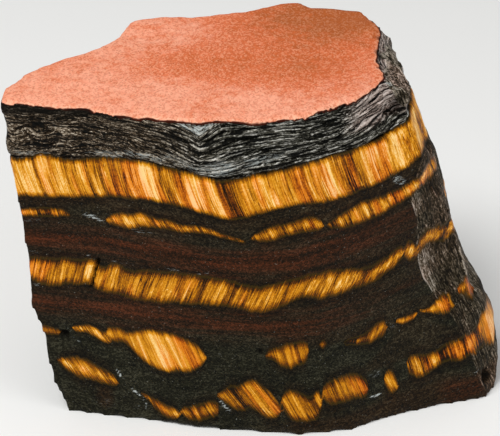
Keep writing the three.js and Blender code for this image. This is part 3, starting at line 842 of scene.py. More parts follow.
@dataclass(frozen=True)
class Ironstone:
    """Hematite and magnetite with quartz, broken along the beds: near black, dull, and finely grained."""

    night: str = "#060602"
    iron: str = "#1e1d11"
    ash: str = "#454334"
    soot: str = "#0c0702"
    umber: str = "#2a1b0b"
    clay: str = "#4e3d28"
    dark: str = "#180d04"  # jasper, iron-stained quartz in soft brick-red bands between dark brown
    brick: str = "#361b0a"
    dust: str = "#582a14"
    # the colour of the painted sparkle
    silver: str = "#a4a498"
    roughness: float = 0.6
    sugar_mm: tuple[float, float, float] = (0.3, 0.3, 0.24)  # coarser than the real 0.1 mm, to show
    streak: Grain = Grain((6.0, 6.0, 0.45), 5.9, 4.0)
    cloud: Grain = Grain((7.0, 7.0, 2.2), 12.4, 2.0)
    # the grains that get a painted sparkle
    painted_sparkle: Grain = Grain((0.42, 0.42, 0.3), 90.4, 1.0)
    wave: Grain = Grain((20.0, 20.0, 1.1), 71.5, 1.5)
    line: Grain = Grain((9.0, 9.0, 0.5), 77.5, 3.0)
    bend: Grain = Grain((9.0, 9.0, 30.0), 6.6)  # how the beds' heights waver
    bend_mm: float = 0.6
    jaspers: tuple[Bed, ...] = (Bed(39.2, 3.2, 0.95, 60, 5), Bed(25.2, 2.8, 0.85, 40, 0))
    foot: Bed = Bed(3, 2.5, 0.7, 34, 39)  # a level bed of jasper at the right of the foot
    browns: tuple[Bed, ...] = (Bed(47.5, 2.4, 0.75), Bed(30, 4, 0.5, 8, 30))
    brown: Grain = Grain((20.0, 20.0, 5.0), 4.0)
    brown_share: float = 0.5
    lump: Grain = Grain((6.0, 6.0, 2.4), 2.9)
    chip: Grain = Grain((2.0, 2.0, 1.2), 7.4)
    hump: Grain = Grain((5.0, 5.0, 1.5), 5.5)
    broken_mm: float = 0.6  # on the sides and the back, which broke anyhow
    uneven_mm: float = 0.10  # on the front, which broke along one joint

    def lie(self, site: Site, bed: np.ndarray) -> Told:
        """Find the jasper and the brown parts.

        Args:
            site: The surface.
            bed: The height of each place measured from the folded beds.

        Returns:
            The beds' fields.
        """
        beds = np.stack([site.x, site.y, bed], 1)
        height = bed + self.bend_mm * self.bend.over(site.places)
        jasper = sum(layer.at(site.x, height) for layer in self.jaspers) + self.foot.at(site.x, site.z)
        warm = sum(layer.at(site.x, height) for layer in self.browns)
        warm += ease(4, 1.5, site.z - 0.06 * site.x) * ease(-8, 14, site.x)  # a thin bed along the foot
        clouds = ease(0, 0.2, self.brown.over(beds)) * ease(0, 14, site.x + 30 * site.behind)
        warm += self.brown_share * clouds
        return {Field.BEDS: beds, Field.JASPER: np.clip(jasper, 0, 1), Field.WARM: warm}

    def relief(self, site: Site, told: Told) -> np.ndarray:
        """Work out how far the bare beds stand out.

        Args:
            site: The surface.
            told: The fields.

        Returns:
            The height at each place, in millimetres.
        """
        beds = told[Field.BEDS]
        broken = self.lump.over(beds) + 0.6 * self.chip.over(beds)
        back = ease(-0.1, 0.35, site.normals[:, 1]) * ease(0.3, -0.3, told[Field.EDGE])
        calm = 1 - 0.7 * ease(-0.2, 0.4, told[Field.SEAM])
        return calm * (back * self.broken_mm * broken + self.uneven_mm * self.hump.over(beds))

    def dress(self, paint: Paint) -> Layer:
        """Dress the dark beds, darker and browner beside the seams, and the red jasper in them.

        Args:
            paint: The material.

        Returns:
            The mineral's layer.
        """
        streak, cloud = (paint.grain(Field.BEDS, g) for g in (self.streak, self.cloud))
        sugar = paint.grit(Field.BEDS, self.sugar_mm)
        halo = paint.add("MapRange", paint.told[Field.SEAM], -2.2, -0.1, **SOFT)
        tone = paint.total((sugar, 0.6), (streak, 0.5), (cloud, 0.6), (halo, -0.2), start=-0.43)
        colour = paint.add("ValToRGB", tone, stops=((0.08, self.night), (0.5, self.iron), (0.95, self.ash)))
        umber = paint.add("ValToRGB", tone, stops=((0.08, self.soot), (0.5, self.umber), (0.95, self.clay)))
        brown = paint.total((paint.told[Field.WARM], 0.8), (halo, 0.4))
        brown = paint.add("Math", brown, 0.0, **CLAMPED)
        colour = paint.add("Mix", brown, colour, umber, **COLOURS)
        wave, line = (paint.grain(Field.BEDS, g) for g in (self.wave, self.line))
        tone = paint.total((sugar, 0.6), (wave, 1.5), (line, 0.8), start=-1.0)
        red = paint.add("ValToRGB", tone, stops=((0.1, self.dark), (0.5, self.brick), (0.9, self.dust)))
        colour = paint.add("Mix", paint.told[Field.JASPER], colour, red, **COLOURS)
        # painted sparkle: tiny glints on single grains of the dark beds
        painted_sparkle = paint.add("MapRange", paint.grain(Field.BEDS, self.painted_sparkle), 0.72, 0.8, **SOFT)
        painted_sparkle = paint.add("Math", painted_sparkle, 0.4, **TIMES)
        colour = paint.add("Mix", painted_sparkle, colour, linear(self.silver), **COLOURS)
        return Layer(colour, self.roughness, paint.total((streak, 0.2), (sugar, 0.08)), 1.0)


@dataclass(frozen=True)
class Rim:
    """Ironstone under the skin, splintered into thin plates: crisp painted highlights on their lips over
    black painted shade in the crevices.
    """

    night: str = "#030301"
    iron: str = "#15140c"
    ash: str = "#3b392f"
    grey: str = "#7c7a70"
    silver: str = "#d0cec6"
    umber: str = "#1e1306"
    bark: str = "#4a3c2b"
    fawn: str = "#8c7e6c"
    sand: str = "#c9bdaa"
    cinder: str = "#1c120a"
    mauve: str = "#63524a"
    dust: str = "#a59388"
    bone: str = "#dccdc4"
    roughness: float = 0.45
    scratch: Grain = Grain((0.9, 0.9, 0.2), 23.8, 1.5, 1.0)
    cross: Grain = Grain((0.9, 0.9, 0.32), 93.1, 1.5, 1.8)
    sliver: Grain = Grain((5.0, 5.0, 0.42), 84.1, 2.0)
    broad: Grain = Grain((5.0, 5.0, 1.6), 51.2, 2.0)
    gap: Grain = Grain((3.5, 3.5, 0.7), 47.7, 1.0)
    sugar_mm: tuple[float, float, float] = (0.34, 0.34, 0.26)
    plate_mm: float = 0.78  # how thick a plate is
    lowest: float = 60.0  # where the count of plates starts
    first: float = 100.0  # and the count there, so that none is negative
    waver: Grain = Grain((10.0, 10.0, 2.6), 1.7)
    waver_plates: float = 0.9
    kink: Grain = Grain((2.6, 2.6, 1.0), 5.1)
    kink_plates: float = 0.35
    step: Grain = Grain((7.0, 7.0, 0.31), 8.4)
    splinter: Grain = Grain((3.4, 3.4, 0.9), 6.2)
    step_mm: float = 0.7
    crevice_mm: float = 0.4
    splinter_mm: float = 0.25
    overhang_mm: float = 0.35

    def lie(self, site: Site, level: np.ndarray, bed: np.ndarray) -> Told:
        """Find the splintered bed and count its plates.

        Args:
            site: The surface.
            level: The height of each place, as the beds wander through the block.
            bed: The same, measured from the folded beds.

        Returns:
            The rim's fields.
        """
        beds = np.stack([site.x, site.y, bed], 1)
        thicker = 0.4 * ease(12, 20, site.x)
        plate = (bed - self.lowest) / self.plate_mm * (1 - thicker) + self.first
        plate += self.waver_plates * self.waver.over(beds) + self.kink_plates * self.kink.over(beds)
        ledge = ease(-24, -6, site.x) * (1 - 0.5 * site.behind) + 0.25
        return {Field.RIM: level - RIM_START.at(site.x) - 0.2, Field.PLATE: plate,
                Field.LEDGE: np.clip(ledge, 0, 1)}

    def relief(self, site: Site, told: Told) -> np.ndarray:
        """Work out how far each plate stands out, and how deep the crevices between them are.

        Args:
            site: The surface.
            told: The fields.

        Returns:
            The height at each place, in millimetres.
        """
        plate = told[Field.PLATE]
        whole = np.floor(plate)
        part = plate - whole
        steps = self.step.over(np.stack([site.x, site.y, whole * self.step.size_mm[2] * 1.7], 1))
        crevice = ease(0.3, 0.0, part) + ease(0.85, 1.0, part)
        wall = told[Field.LEDGE] * (self.step_mm * steps - self.crevice_mm * crevice)
        wall += self.splinter_mm * self.splinter.over(told[Field.BEDS])
        overhang = self.overhang_mm * bump(0.1, 0.35, told[Field.RIM])
        return ease(-0.3, 0.3, told[Field.RIM]) * wall * ease(-49, -45, site.x) - overhang

    def dress(self, paint: Paint) -> Layer:
        """Dress the plates: brown and scratched at the left, black in the middle, and dusty at the right.

        Args:
            paint: The material.

        Returns:
            The mineral's layer.
        """
        scratch, cross, sliver, broad = (
            paint.grain(Field.BEDS, g) for g in (self.scratch, self.cross, self.sliver, self.broad))
        sugar = paint.grit(Field.BEDS, self.sugar_mm)
        warm, dust = paint.told[Field.WARM], paint.told[Field.DUST]
        part = paint.add("Math", paint.told[Field.PLATE], operation="FRACT")
        # painted highlight on each plate's upper lip, and painted shade in the crevice under the plate above
        lip = paint.add("MapRange", part, 0.5, 0.95, **SOFT)
        crevice = paint.add("MapRange", part, 0.36, 0.1, **SOFT)
        gap = paint.add("MapRange", paint.grain(Field.BEDS, self.gap), 0.38, 0.54, **SOFT)
        crevice = paint.add("Math", crevice, gap, **TIMES)
        pale = paint.add("Math", lip, dust, **TIMES)
        plates = paint.total((lip, 0.2), (pale, 0.24), (crevice, -0.42))
        plates = paint.add("Math", plates, paint.told[Field.LEDGE], **TIMES)
        glossy = paint.add("MapRange", scratch, 0.52, 0.62, **SOFT)
        bright = paint.add("MapRange", cross, 0.55, 0.68, **SOFT)
        short = paint.total((glossy, 0.24), (bright, 0.3))
        short = paint.add("Math", short, paint.total((warm, 0.6), start=0.4), **TIMES)
        # dark slivers and the bright lines along them: painted shade between splinters and painted highlights
        # on their edges
        black = paint.add("MapRange", paint.total((sliver, 0.7), (scratch, 0.3)), 0.49, 0.41, **SOFT)
        edges = paint.line(paint.add("Math", sliver, 0.55, operation="SUBTRACT"), 0.01, 0.07)
        long = paint.total((edges, 0.34), (black, -0.38))
        long = paint.add("Math", long, paint.total((warm, -0.45), (dust, -0.35), start=1.0), **TIMES)
        # the painted glints lift the tone of the plates as well
        tone = paint.total((broad, 0.8), (sugar, 0.3), (short, 1.0), (long, 1.0), (plates, 1.0),
                           (dust, 0.15), (warm, -0.02), (paint.told[Field.GLINT], 0.17), start=-0.26)
        stops = (0.18, 0.36, 0.52, 0.7, 0.95)
        mixed = None
        for share, colours in (
            (None, (self.night, self.iron, self.ash, self.grey, self.silver)),
            (Field.WARM, (self.night, self.umber, self.bark, self.fawn, self.sand)),
            (Field.DUST, (self.night, self.cinder, self.mauve, self.dust, self.bone)),
        ):
            colour = paint.add("ValToRGB", tone, stops=tuple(zip(stops, colours)))
            mixed = paint.add("Mix", paint.told[share], mixed, colour, **COLOURS) if share else colour
        return Layer(mixed, self.roughness, paint.total((glossy, 0.12), (black, -0.24), (crevice, -0.3)),
                     paint.add("MapRange", paint.told[Field.RIM], -0.15, 0.15, **SOFT))


@dataclass(frozen=True)
class TornEnd:
    """Ironstone torn across at the right end: matt grey-brown, faintly fibrous, with a thin pale edge that is
    partly wear and partly a painted highlight.
    """

    night: str = "#0d0903"
    stone: str = "#2d2618"
    ash: str = "#5b5142"
    dust: str = "#a0917f"
    # the colour that the painted sheen turns the stone towards
    sheen: str = "#aba69c"
    soot: str = "#120a04"
    umber: str = "#33200f"
    flesh: str = "#6e4e3c"
    shell: str = "#cbb0a2"
    roughness: float = 0.7
    fibre: Grain = Grain((0.34, 0.34, 2.2), 14.9, 2.0)
    cloud: Grain = Grain((4.0, 4.0, 6.0), 47.2, 2.0)
    stain: Grain = Grain((3.0, 3.0, 5.0), 37.6, 2.0)
    sugar_mm: tuple[float, float, float] = (0.3, 0.3, 0.34)
    ragged: Grain = Grain((1.6, 1.6, 2.5), 7.7)
    ragged_mm: float = 0.3
    patchy: Grain = Grain((2.2, 2.2, 3.0), 3.9)
    flute: Grain = Grain((0.9, 0.9, 7.0), 8.3)
    chip: Grain = Grain((2.6, 2.6, 4.0), 5.2)
    slope: float = 0.36  # how far the end falls back for each millimetre up
    flute_mm: float = 0.16
    chip_mm: float = 0.3
    edge: Course = Course((
        (0, 45.8), (6, 43.8), (13.2, 41.1), (18.1, 38.6), (22.4, 35.7), (26.4, 33), (29.3, 31.5),
        (34.3, 30.4), (40.7, 30.3), (44.1, 29.2), (46, 28.3), (49, 29.6), (52.5, 31.6), (54.5, 36),
        (60, 34), (62, 28.2), (64, 26), (66.5, 24.6), (68, 23.6)))
    ridge: Course = Course((  # the crest's place along Y at each height
        (18, -9.6), (20.9, -8.8), (22.8, -9.3), (24.4, -9.7), (26.9, -9.3), (30.6, -9.2)))
    ridge_mm: float = 0.3
    ending: float = 30.0  # how much further off a crest seems beyond its ends, so that its line stops there
    painted_sheen: Patch = Patch(32.2, 30.2, 2.6, 6.4)  # the largest painted grey sheen, on a line that leans
    painted_sheen_lean: float = 0.3
    upper_painted_sheen: Patch = Patch(30.2, 44, 1.2, 2.6, 0, 0.8)
    side_painted_sheen: Patch = Patch(42, 25, 6, 7, 0, 0.5)
    # painted light on the upper facets, which face up towards the light
    top_sheen: float = 0.45
    crests: tuple[tuple[Course, Course], ...] = (  # the places of two more along Y and along Z, over X
        (Course(((23.4, -11.2), (24.9, -11.8), (26, -11.9), (27, -11.2), (28, -7), (28.9, -2.5))),
         Course(((23.4, 68), (24.9, 67.2), (25.8, 66.4), (26.6, 66), (28, 64.5), (28.9, 62.3)))),
        (Course(((26.2, 0.6), (27.4, 0.9), (28.8, 0.6))),
         Course(((26.2, 65.2), (27.4, 64), (28.8, 62.5)))),
    )
    pits: tuple[Dent, ...] = (Dent(45.7, -15.7, 4.1, 2.1, 1.4), Dent(23.7, 2.6, 67.4, 1.9, 0.8),
                              Dent(23.2, -5.7, 67.6, 1.2, 0.5, 0.8), Dent(23.4, -2.6, 67.6, 0.9, 0.4, 0.8),
                              Dent(24.2, -9.8, 67.8, 1.1, 0.4, 0.8), Dent(25.4, -1.4, 66.6, 0.8, 0.3, 0.6),
                              Dent(23.6, 9.4, 67.4, 1.2, 0.5, 0.7))

    def lie(self, site: Site) -> Told:
        """Find the torn end, its painted grey sheen and its worn crests, which get painted highlights.

        Args:
            site: The surface.

        Returns:
            The torn end's fields.
        """
        x, z = site.x, site.z
        right = x - self.edge.at(z) + self.ragged_mm * self.ragged.over(site.places)
        right *= 1 - 0.95 * ease(4, 14, site.y)  # softer at the back, where there is no hard edge
        sheen = self.painted_sheen.at(x - self.painted_sheen_lean * (30 - z), z) + self.top_sheen * ease(61, 64, z)
        sheen += self.upper_painted_sheen.at(x, z) + ease(-9, -7, site.y) * self.side_painted_sheen.at(x, z)
        fall = np.stack([x + self.slope * z, site.y, z], 1)
        beyond = 1 - within(20, 30, 2, z) + ease(36, 34, x)
        worn_crest_highlight = (site.y - self.ridge.at(z)) * (1 + self.ending * beyond)
        for across, high in self.crests:
            beyond = 1 - within(across.points[0][0], across.points[-1][0], 0.6, x)
            reach = 2 * np.hypot(site.y - across.at(x), z - high.at(x)) * (1 + self.ending * beyond)
            worn_crest_highlight = np.where(reach < np.abs(worn_crest_highlight), reach, worn_crest_highlight)
        return {Field.EDGE: right, Field.SHEEN: np.clip(sheen, 0, 1), Field.FALL: fall, Field.WORN_CREST_HIGHLIGHT: worn_crest_highlight}

    def plate(self, site: Site) -> np.ndarray:
        """Give the share of the small pink plate behind the top corner."""
        return within(-10, 0.5, 1.5, site.y) * ease(61.5, 62.5, site.z) * ease(24, 25.5, site.x)

    def pinch(self, site: Site, told: Told) -> np.ndarray:
        """Give how much thinner the lower seams are where they cross the torn end."""
        torn = ease(-0.1, 0.4, told[Field.EDGE])
        return torn * ease(53, 51, site.z) * (0.1 + 0.7 * self.patchy.over(site.places))

    def relief(self, site: Site, told: Told) -> np.ndarray:
        """Work out how far the torn end stands out.

        Args:
            site: The surface.
            told: The fields.

        Returns:
            The height at each place, in millimetres.
        """
        fall = told[Field.FALL]
        torn = ease(-0.3, 0.3, told[Field.EDGE]) * (1 - 0.6 * ease(-0.2, 0.4, told[Field.SEAM]))
        sharp = 1 + 1.6 * ease(59, 62, site.z)
        rough = self.flute_mm * self.flute.over(fall) + self.chip_mm * self.chip.over(fall)
        height = torn * (sharp * rough + self.ridge_mm * bump(0, 0.7, told[Field.WORN_CREST_HIGHLIGHT]))
        for pit in self.pits:
            height -= pit.depth * pit.at(site.places)
        return height

    def dress(self, paint: Paint) -> Layer:
        """Dress the torn end: grey-brown and fibrous, browner in stains, with a painted grey sheen, and pale
        edges and crests that are partly wear and partly painted highlights.

        Args:
            paint: The material.

        Returns:
            The mineral's layer.
        """
        fibre, cloud = (paint.grain(Field.FALL, g) for g in (self.fibre, self.cloud))
        sugar = paint.grit(Field.FALL, self.sugar_mm)
        # the painted grey sheen
        sheen = paint.told[Field.SHEEN]
        jitter = paint.total((sugar, 0.3), (cloud, 1.0), start=-0.65)
        # a pale line along the torn edge, partly wear and partly a painted highlight, stronger in the painted
        # sheen
        edge = paint.line(paint.total((paint.told[Field.EDGE], 1.0), (jitter, 0.4), start=-0.1), 0.04, 0.17)
        edge = paint.add("Math", edge, paint.total((sheen, 0.55), start=0.45), **TIMES)
        # a pale line along the crests, partly wear and partly a painted highlight
        worn_crest_highlight = paint.line(paint.total((paint.told[Field.WORN_CREST_HIGHLIGHT], 1.0), (jitter, 0.8)), 0.25, 0.7)
        dust = paint.told[Field.DUST]
        fluted = paint.add("Math", paint.total((fibre, 1.0), start=-0.44), dust, **TIMES)
        tone = paint.total((fibre, 1.4), (sugar, 0.34), (cloud, 0.8), (sheen, 0.18), (edge, 0.3),
                           (worn_crest_highlight, 0.4), (fluted, 1.5), start=-0.89)
        colour = paint.add("ValToRGB", tone, stops=(
            (0.16, self.night), (0.42, self.stone), (0.62, self.ash), (0.9, self.dust)))
        grey = paint.add("ValToRGB", tone, stops=((0.16, self.night), (0.5, self.ash), (0.9, self.sheen)))
        # the painted sheen and the pale lines turn the stone grey
        share = paint.total((sheen, 0.6), (edge, 0.4), (worn_crest_highlight, 0.4))
        share = paint.add("Math", share, 0.0, **CLAMPED)
        colour = paint.add("Mix", share, colour, grey, **COLOURS)
        stain = paint.add("MapRange", paint.grain(Field.FALL, self.stain), 0.55, 0.75, **SOFT)
        stain = paint.total((stain, 0.35), (paint.told[Field.WARM], 0.5))
        stain = paint.add("Math", stain, 0.0, **CLAMPED)
        brown = paint.add("ValToRGB", tone, stops=(
            (0.16, self.soot), (0.42, self.umber), (0.62, self.flesh), (0.9, self.shell)))
        colour = paint.add("Mix", stain, colour, brown, **COLOURS)
        return Layer(colour, self.roughness, paint.total((fibre, 0.4), (sugar, 0.08)),
                     paint.add("MapRange", paint.told[Field.EDGE], -0.1, 0.15, **SOFT))


@dataclass(frozen=True)
class Skin:
    """The old outside of the bed, rusted and etched by weather: salmon pink, matt and gritty."""

    pale: str = "#f5a182"
    pink: str = "#e27a52"
    rose: str = "#d0683a"
    tan: str = "#b05c2c"
    pore: str = "#a04e2a"
    # the pale fringe's colour: partly paler crust, partly a painted highlight where the edge turns
    fringe: str = "#f6bc9a"
    line: str = "#3a1206"
    roughness: float = 0.85
    sugar_mm: tuple[float, float, float] = (0.3, 0.46, 0.3)  # weathered grit, coarser than it is
    mottle: Grain = Grain((2.6, 2.6, 2.6), 18.8, 2.0)
    patch: Grain = Grain((12.0, 12.0, 12.0), 1.9)
    nibble: Grain = Grain((2.6, 2.6, 2.6), 3.3)  # its uneven edge
    nibble_mm: float = 0.3
    dimple: Grain = Grain((4.0, 4.0, 4.0), 3.7)
    pimple: Grain = Grain((1.4, 1.4, 1.4), 9.9)
    dimple_mm: float = 0.14
    crust_mm: float = 0.3
    lowest: float = 65.6
    browned: tuple[Stain, ...] = (
        Stain(16, 20, 20, 16, 1.15), Stain(2, 22, -5, 12, 0.47), Stain(-17, 8, -5, 8, 0.3))
    front: Course = Course((
        (-50, -22), (-42.5, -23.4), (-37.6, -24.5), (-32.7, -25.3), (-28.6, -27.5), (-24, -28.9),
        (-20.7, -29.7), (-18.2, -30.4), (-15.5, -30.8), (-11.5, -30.9), (-8.5, -31), (-2.2, -31.3),
        (3.3, -30.4), (7, -29.4), (10.8, -26.5), (14, -23.9), (17.5, -21.6), (20.5, -17.4), (23.3, -12)))
    right: Course = Course((
        (-14, 22.6), (-11.4, 23.4), (-6, 23.0), (-0.3, 22.8), (6, 23.4), (13, 23.4), (19, 22.4), (26, 24)))

    def lie(self, site: Site) -> Told:
        """Find the skin and how brown it has weathered.

        Args:
            site: The surface.

        Returns:
            The skin's fields.
        """
        inside = np.minimum(0.8 * (site.y - self.front.at(site.x)), self.right.at(site.y) - site.x)
        inside = np.minimum(inside, np.minimum(3 * (site.up - 0.4), site.z - self.lowest))
        age = 0.07 + 0.2 * self.patch.over(site.places)
        for stain in self.browned:
            age += stain.at(site.x, site.y)
        return {Field.SKIN: inside + self.nibble_mm * self.nibble.over(site.places), Field.AGE: age}

    def relief(self, site: Site, told: Told) -> np.ndarray:
        """Work out how far the skin's crust stands out, with its shallow dimples.

        Args:
            site: The surface.
            told: The fields.

        Returns:
            The height at each place, in millimetres.
        """
        crust = ease(-0.5, 0.1, told[Field.SKIN])
        dimples = self.dimple.over(site.places) + 0.5 * self.pimple.over(site.places)
        return crust * self.dimple_mm * dimples - (1 - crust) * self.crust_mm * ease(0.3, 0.7, site.up)

    def dress(self, paint: Paint) -> Layer:
        """Dress the skin, with a pale fringe inside its edge, partly paler crust and partly a painted
        highlight, and a dark red line around it.

        Args:
            paint: The material.

        Returns:
            The mineral's layer.
        """
        sugar, mottle = paint.grit(Field.BEDS, self.sugar_mm), paint.grain(Field.BEDS, self.mottle)
        age = paint.total((paint.told[Field.AGE], 1.0), (mottle, 0.7), start=-0.35)
        colour = paint.add("ValToRGB", age, stops=(
            (0.05, self.pale), (0.3, self.pink), (0.6, self.rose), (0.95, self.tan)))
        edge = paint.told[Field.SKIN]
        # the pale fringe inside the skin's edge, partly paler crust and partly a painted highlight
        fringe = paint.total((edge, 1.0), (mottle, 1.5), start=-0.75)
        fringe = paint.add("MapRange", fringe, 1.1, 0.1, **SOFT)
        light = paint.add("MapRange", paint.total((sugar, 0.7), (fringe, 0.3)), 0.3, 1.15)
        light = paint.add("Math", light, paint.total((paint.told[Field.AGE], -0.5), start=1.0), **TIMES)
        colour = paint.add("Mix", light, colour, linear(self.fringe), **COLOURS)
        pore = paint.add("MapRange", sugar, 0.5, -0.8)
        colour = paint.add("Mix", pore, colour, linear(self.pore), **COLOURS)
        line = paint.add("MapRange", paint.total((edge, 1.0), (mottle, 0.6), start=-0.3), 0.22, 0.0, **SOFT)
        colour = paint.add("Mix", line, colour, linear(self.line), **COLOURS)
        return Layer(colour, self.roughness, paint.add("Math", sugar, 0.1, **TIMES),
                     paint.add("MapRange", edge, -0.3, -0.2, **SOFT))


@dataclass(frozen=True)
class Marks:
    """What lies over the minerals: painted glints off specular iron, a pale facet with a painted highlight,
    and painted shade in pits, a crack and just under the skin's left edge.
    """

    # the colour of the painted glints
    silver: str = "#b2b8b5"
    # the colour of the painted shade
    shade_paint: str = "#080603"
    wisp: Grain = Grain((1.2, 1.2, 0.17), 66.1, 2.0, 0.6)
    silver_mm: float = 0.3
    facet: Course = Course(((-15.9, 67.4), (-13.6, 66.5), (-11.6, 65.4), (-10.3, 66.3), (-9, 67.4)))
    facet_mm: float = 0.5
    swells: tuple[Dent, ...] = (
        Dent(-49, -20, 62, 10, -0.4, 0), Dent(-48.4, -22, 55, 7, -0.2, 0), Dent(-23, 18, 68, 10, -0.7, 0),
        Dent(12, 26, 68, 9, -0.4, 0), Dent(25, 14, 66.5, 7, -0.7, 0), Dent(36, -8, 48, 8, 0.5, 0),
        Dent(43.6, -8, 21, 5, 0.8, 0), Dent(48.5, -4, 11, 7, -0.7, 0))
    # painted glints off specular iron, and a painted highlight along the crest at the top right
    glints: tuple[Patch, ...] = (
        Patch(-44, 57.7, 4.5, 0.7, 0, 0.8), Patch(-29, 59.3, 4.5, 0.9, -0.14),
        Patch(-22, 60.1, 5, 1.1, 0.12), Patch(-15, 59.4, 4, 1.1, 0.4),
        Patch(-8.4, 58.6, 4, 1.9, -0.1, 1.2), Patch(-1, 60, 5, 1.2, -0.15, 0.9),
        Patch(3, 60.5, 6, 1.2, -0.15, 0.3), Patch(3.4, 67.2, 3.4, 0.45, 0, 0.9),
        Patch(-32.2, 45.1, 2.8, 0.5, 0.3, 1.4), Patch(-23, 43.8, 2.6, 0.35, 0.1, 0.7),
        Patch(-43.8, 42.8, 3.4, 0.7, 0, 0.4), Patch(-44.4, 35.9, 1.2, 0.5, 0, 0.7),
        Patch(-33, 36.2, 1.4, 0.4, 0.5, 0.7), Patch(-27, 35.9, 2.4, 0.3, 0.1, 0.6),
        Patch(-17, 36.1, 1.8, 0.4, 0.2, 0.7), Patch(-11, 35.9, 1.4, 0.3, -0.3),
        Patch(-44.2, 28.7, 1.2, 0.45, 0.2, 0.9), Patch(-36.6, 17.2, 1.0, 0.4, 0.9, 0.7),
        Patch(-28.1, 10.4, 0.8, 0.4, 1.5, 2.0), Patch(-24.7, 6.4, 1.1, 0.4, 0.75, 2.0),
        Patch(-23.1, 4.2, 0.5, 1.0, 3, 1.2), Patch(-24.8, 3, 0.7, 0.7, 0, 0.8),
        Patch(-31.5, 3.2, 3, 1.2, 0, 0.3), Patch(-7.2, 5.8, 1.4, 0.6, 1.1, 1.8),
        Patch(22.4, 10.5, 1.6, 0.9, 0, 0.6), Patch(22.7, 5.9, 1.3, 0.26, 0, 2.0),
        Patch(25.6, 20, 1.2, 0.6, -0.2, 0.6), Patch(43.4, 6.4, 1.0, 0.3, -0.3, 0.9),
        Patch(24.8, 67.1, 1.8, 0.35, 0.7), Patch(30.6, 57.5, 2.3, 0.7, 2.0, 0.8),
        Patch(26.4, 50, 1.8, 1.1, 0.6, 1.1))
    dents: tuple[Dent, ...] = (Dent(-39.0, -22.8, 17.8, 1.3, 0.9), Dent(-0.4, -31.8, 19.2, 0.9, 0.5),
                               Dent(26.4, -12.6, 62.9, 2.3, 1.0, 0.65))
    cracks: tuple[Crack, ...] = (Crack((-31.6, 35.7), (-33.1, 29.7), 0.42, 1.1),)
    glow: Patch = Patch(-31.2, 4.4, 2.0, 2.8)  # a brown patch low on the front
    eaves_z: float = 65.3  # where the painted shadow under the skin's left edge starts, at the far left
    eaves_rise: float = 0.07
    eaves_dark: float = 0.88

    def lie(self, site: Site, skin: np.ndarray) -> Told:
        """Find the painted glints and the painted shade.

        Args:
            site: The surface.
            skin: How far inside the weathered skin each place is.

        Returns:
            The marks' fields.
        """
        x, z, front = site.x, site.z, site.front
        glint = sum(patch.at(x, z) for patch in self.glints)
        # painted shade in the pits and in the crack
        shade_paint = sum(dent.dark * dent.at(site.places) for dent in self.dents + TornEnd().pits)
        shade_paint = shade_paint + sum(crack.at(x, z) for crack in self.cracks) * front
        # a painted shadow just under the skin's left edge
        above = z - self.eaves_rise * (x + 47) - self.eaves_z
        eaves = ease(0, 0.6, above) * ease(-24, -28, x) * ease(0.1, -0.2, skin)
        shade_paint = shade_paint + self.eaves_dark * eaves * (1 - site.behind)
        # painted glints, and a painted highlight on the small facet
        return {Field.GLINT: front * glint + 1.5 * front * self.cut(site),
                Field.PAINTED_SHADE: np.clip(shade_paint, 0, 1)}

    def cut(self, site: Site) -> np.ndarray:
        """Give the share of the small facet cut into the top of the ridge, which the glints paint pale as a
        highlight.
        """
        span = ease(-16.2, -15.6, site.x) * ease(-8.7, -9.2, site.x)
        return span * ease(-0.1, 0.15, site.z - self.facet.at(site.x))

    def relief(self, site: Site) -> np.ndarray:
        """Work out how deep the facet, the pits and the crack are.

        Args:
            site: The surface.

        Returns:
            The height at each place, in millimetres: below 0 where it is cut away.
        """
        height = -self.facet_mm * self.cut(site) * (site.z - self.facet.at(site.x)) * site.front
        for dent in self.dents + self.swells:
            height -= dent.depth * dent.at(site.places)
        for crack in self.cracks:
            height -= crack.depth * crack.at(site.x, site.z) * site.front
        return height

    def dress(self, paint: Paint) -> tuple[Layer, Layer]:
        """Dress the painted glints and the painted shade.

        Args:
            paint: The material.

        Returns:
            The layer of the painted glints and the layer of the painted shade.
        """
        # painted glints: pale silver streaks where the glint share is high
        wisp = paint.grain(Field.BEDS, self.wisp)
        share = paint.total((wisp, 1.0), (paint.told[Field.GLINT], 0.14), start=-0.14)
        share = paint.add("MapRange", share, 0.5, 0.57, **SOFT)
        share = paint.add("Math", share, paint.told[Field.GLINT], **TIMES)
        share = paint.add("Math", share, 0.6, use_clamp=True, **TIMES)
        silver = Layer(linear(self.silver), 0.35, self.silver_mm, share)
        # the painted shade
        return silver, Layer(linear(self.shade_paint), 0.8, 0.0, paint.told[Field.PAINTED_SHADE])


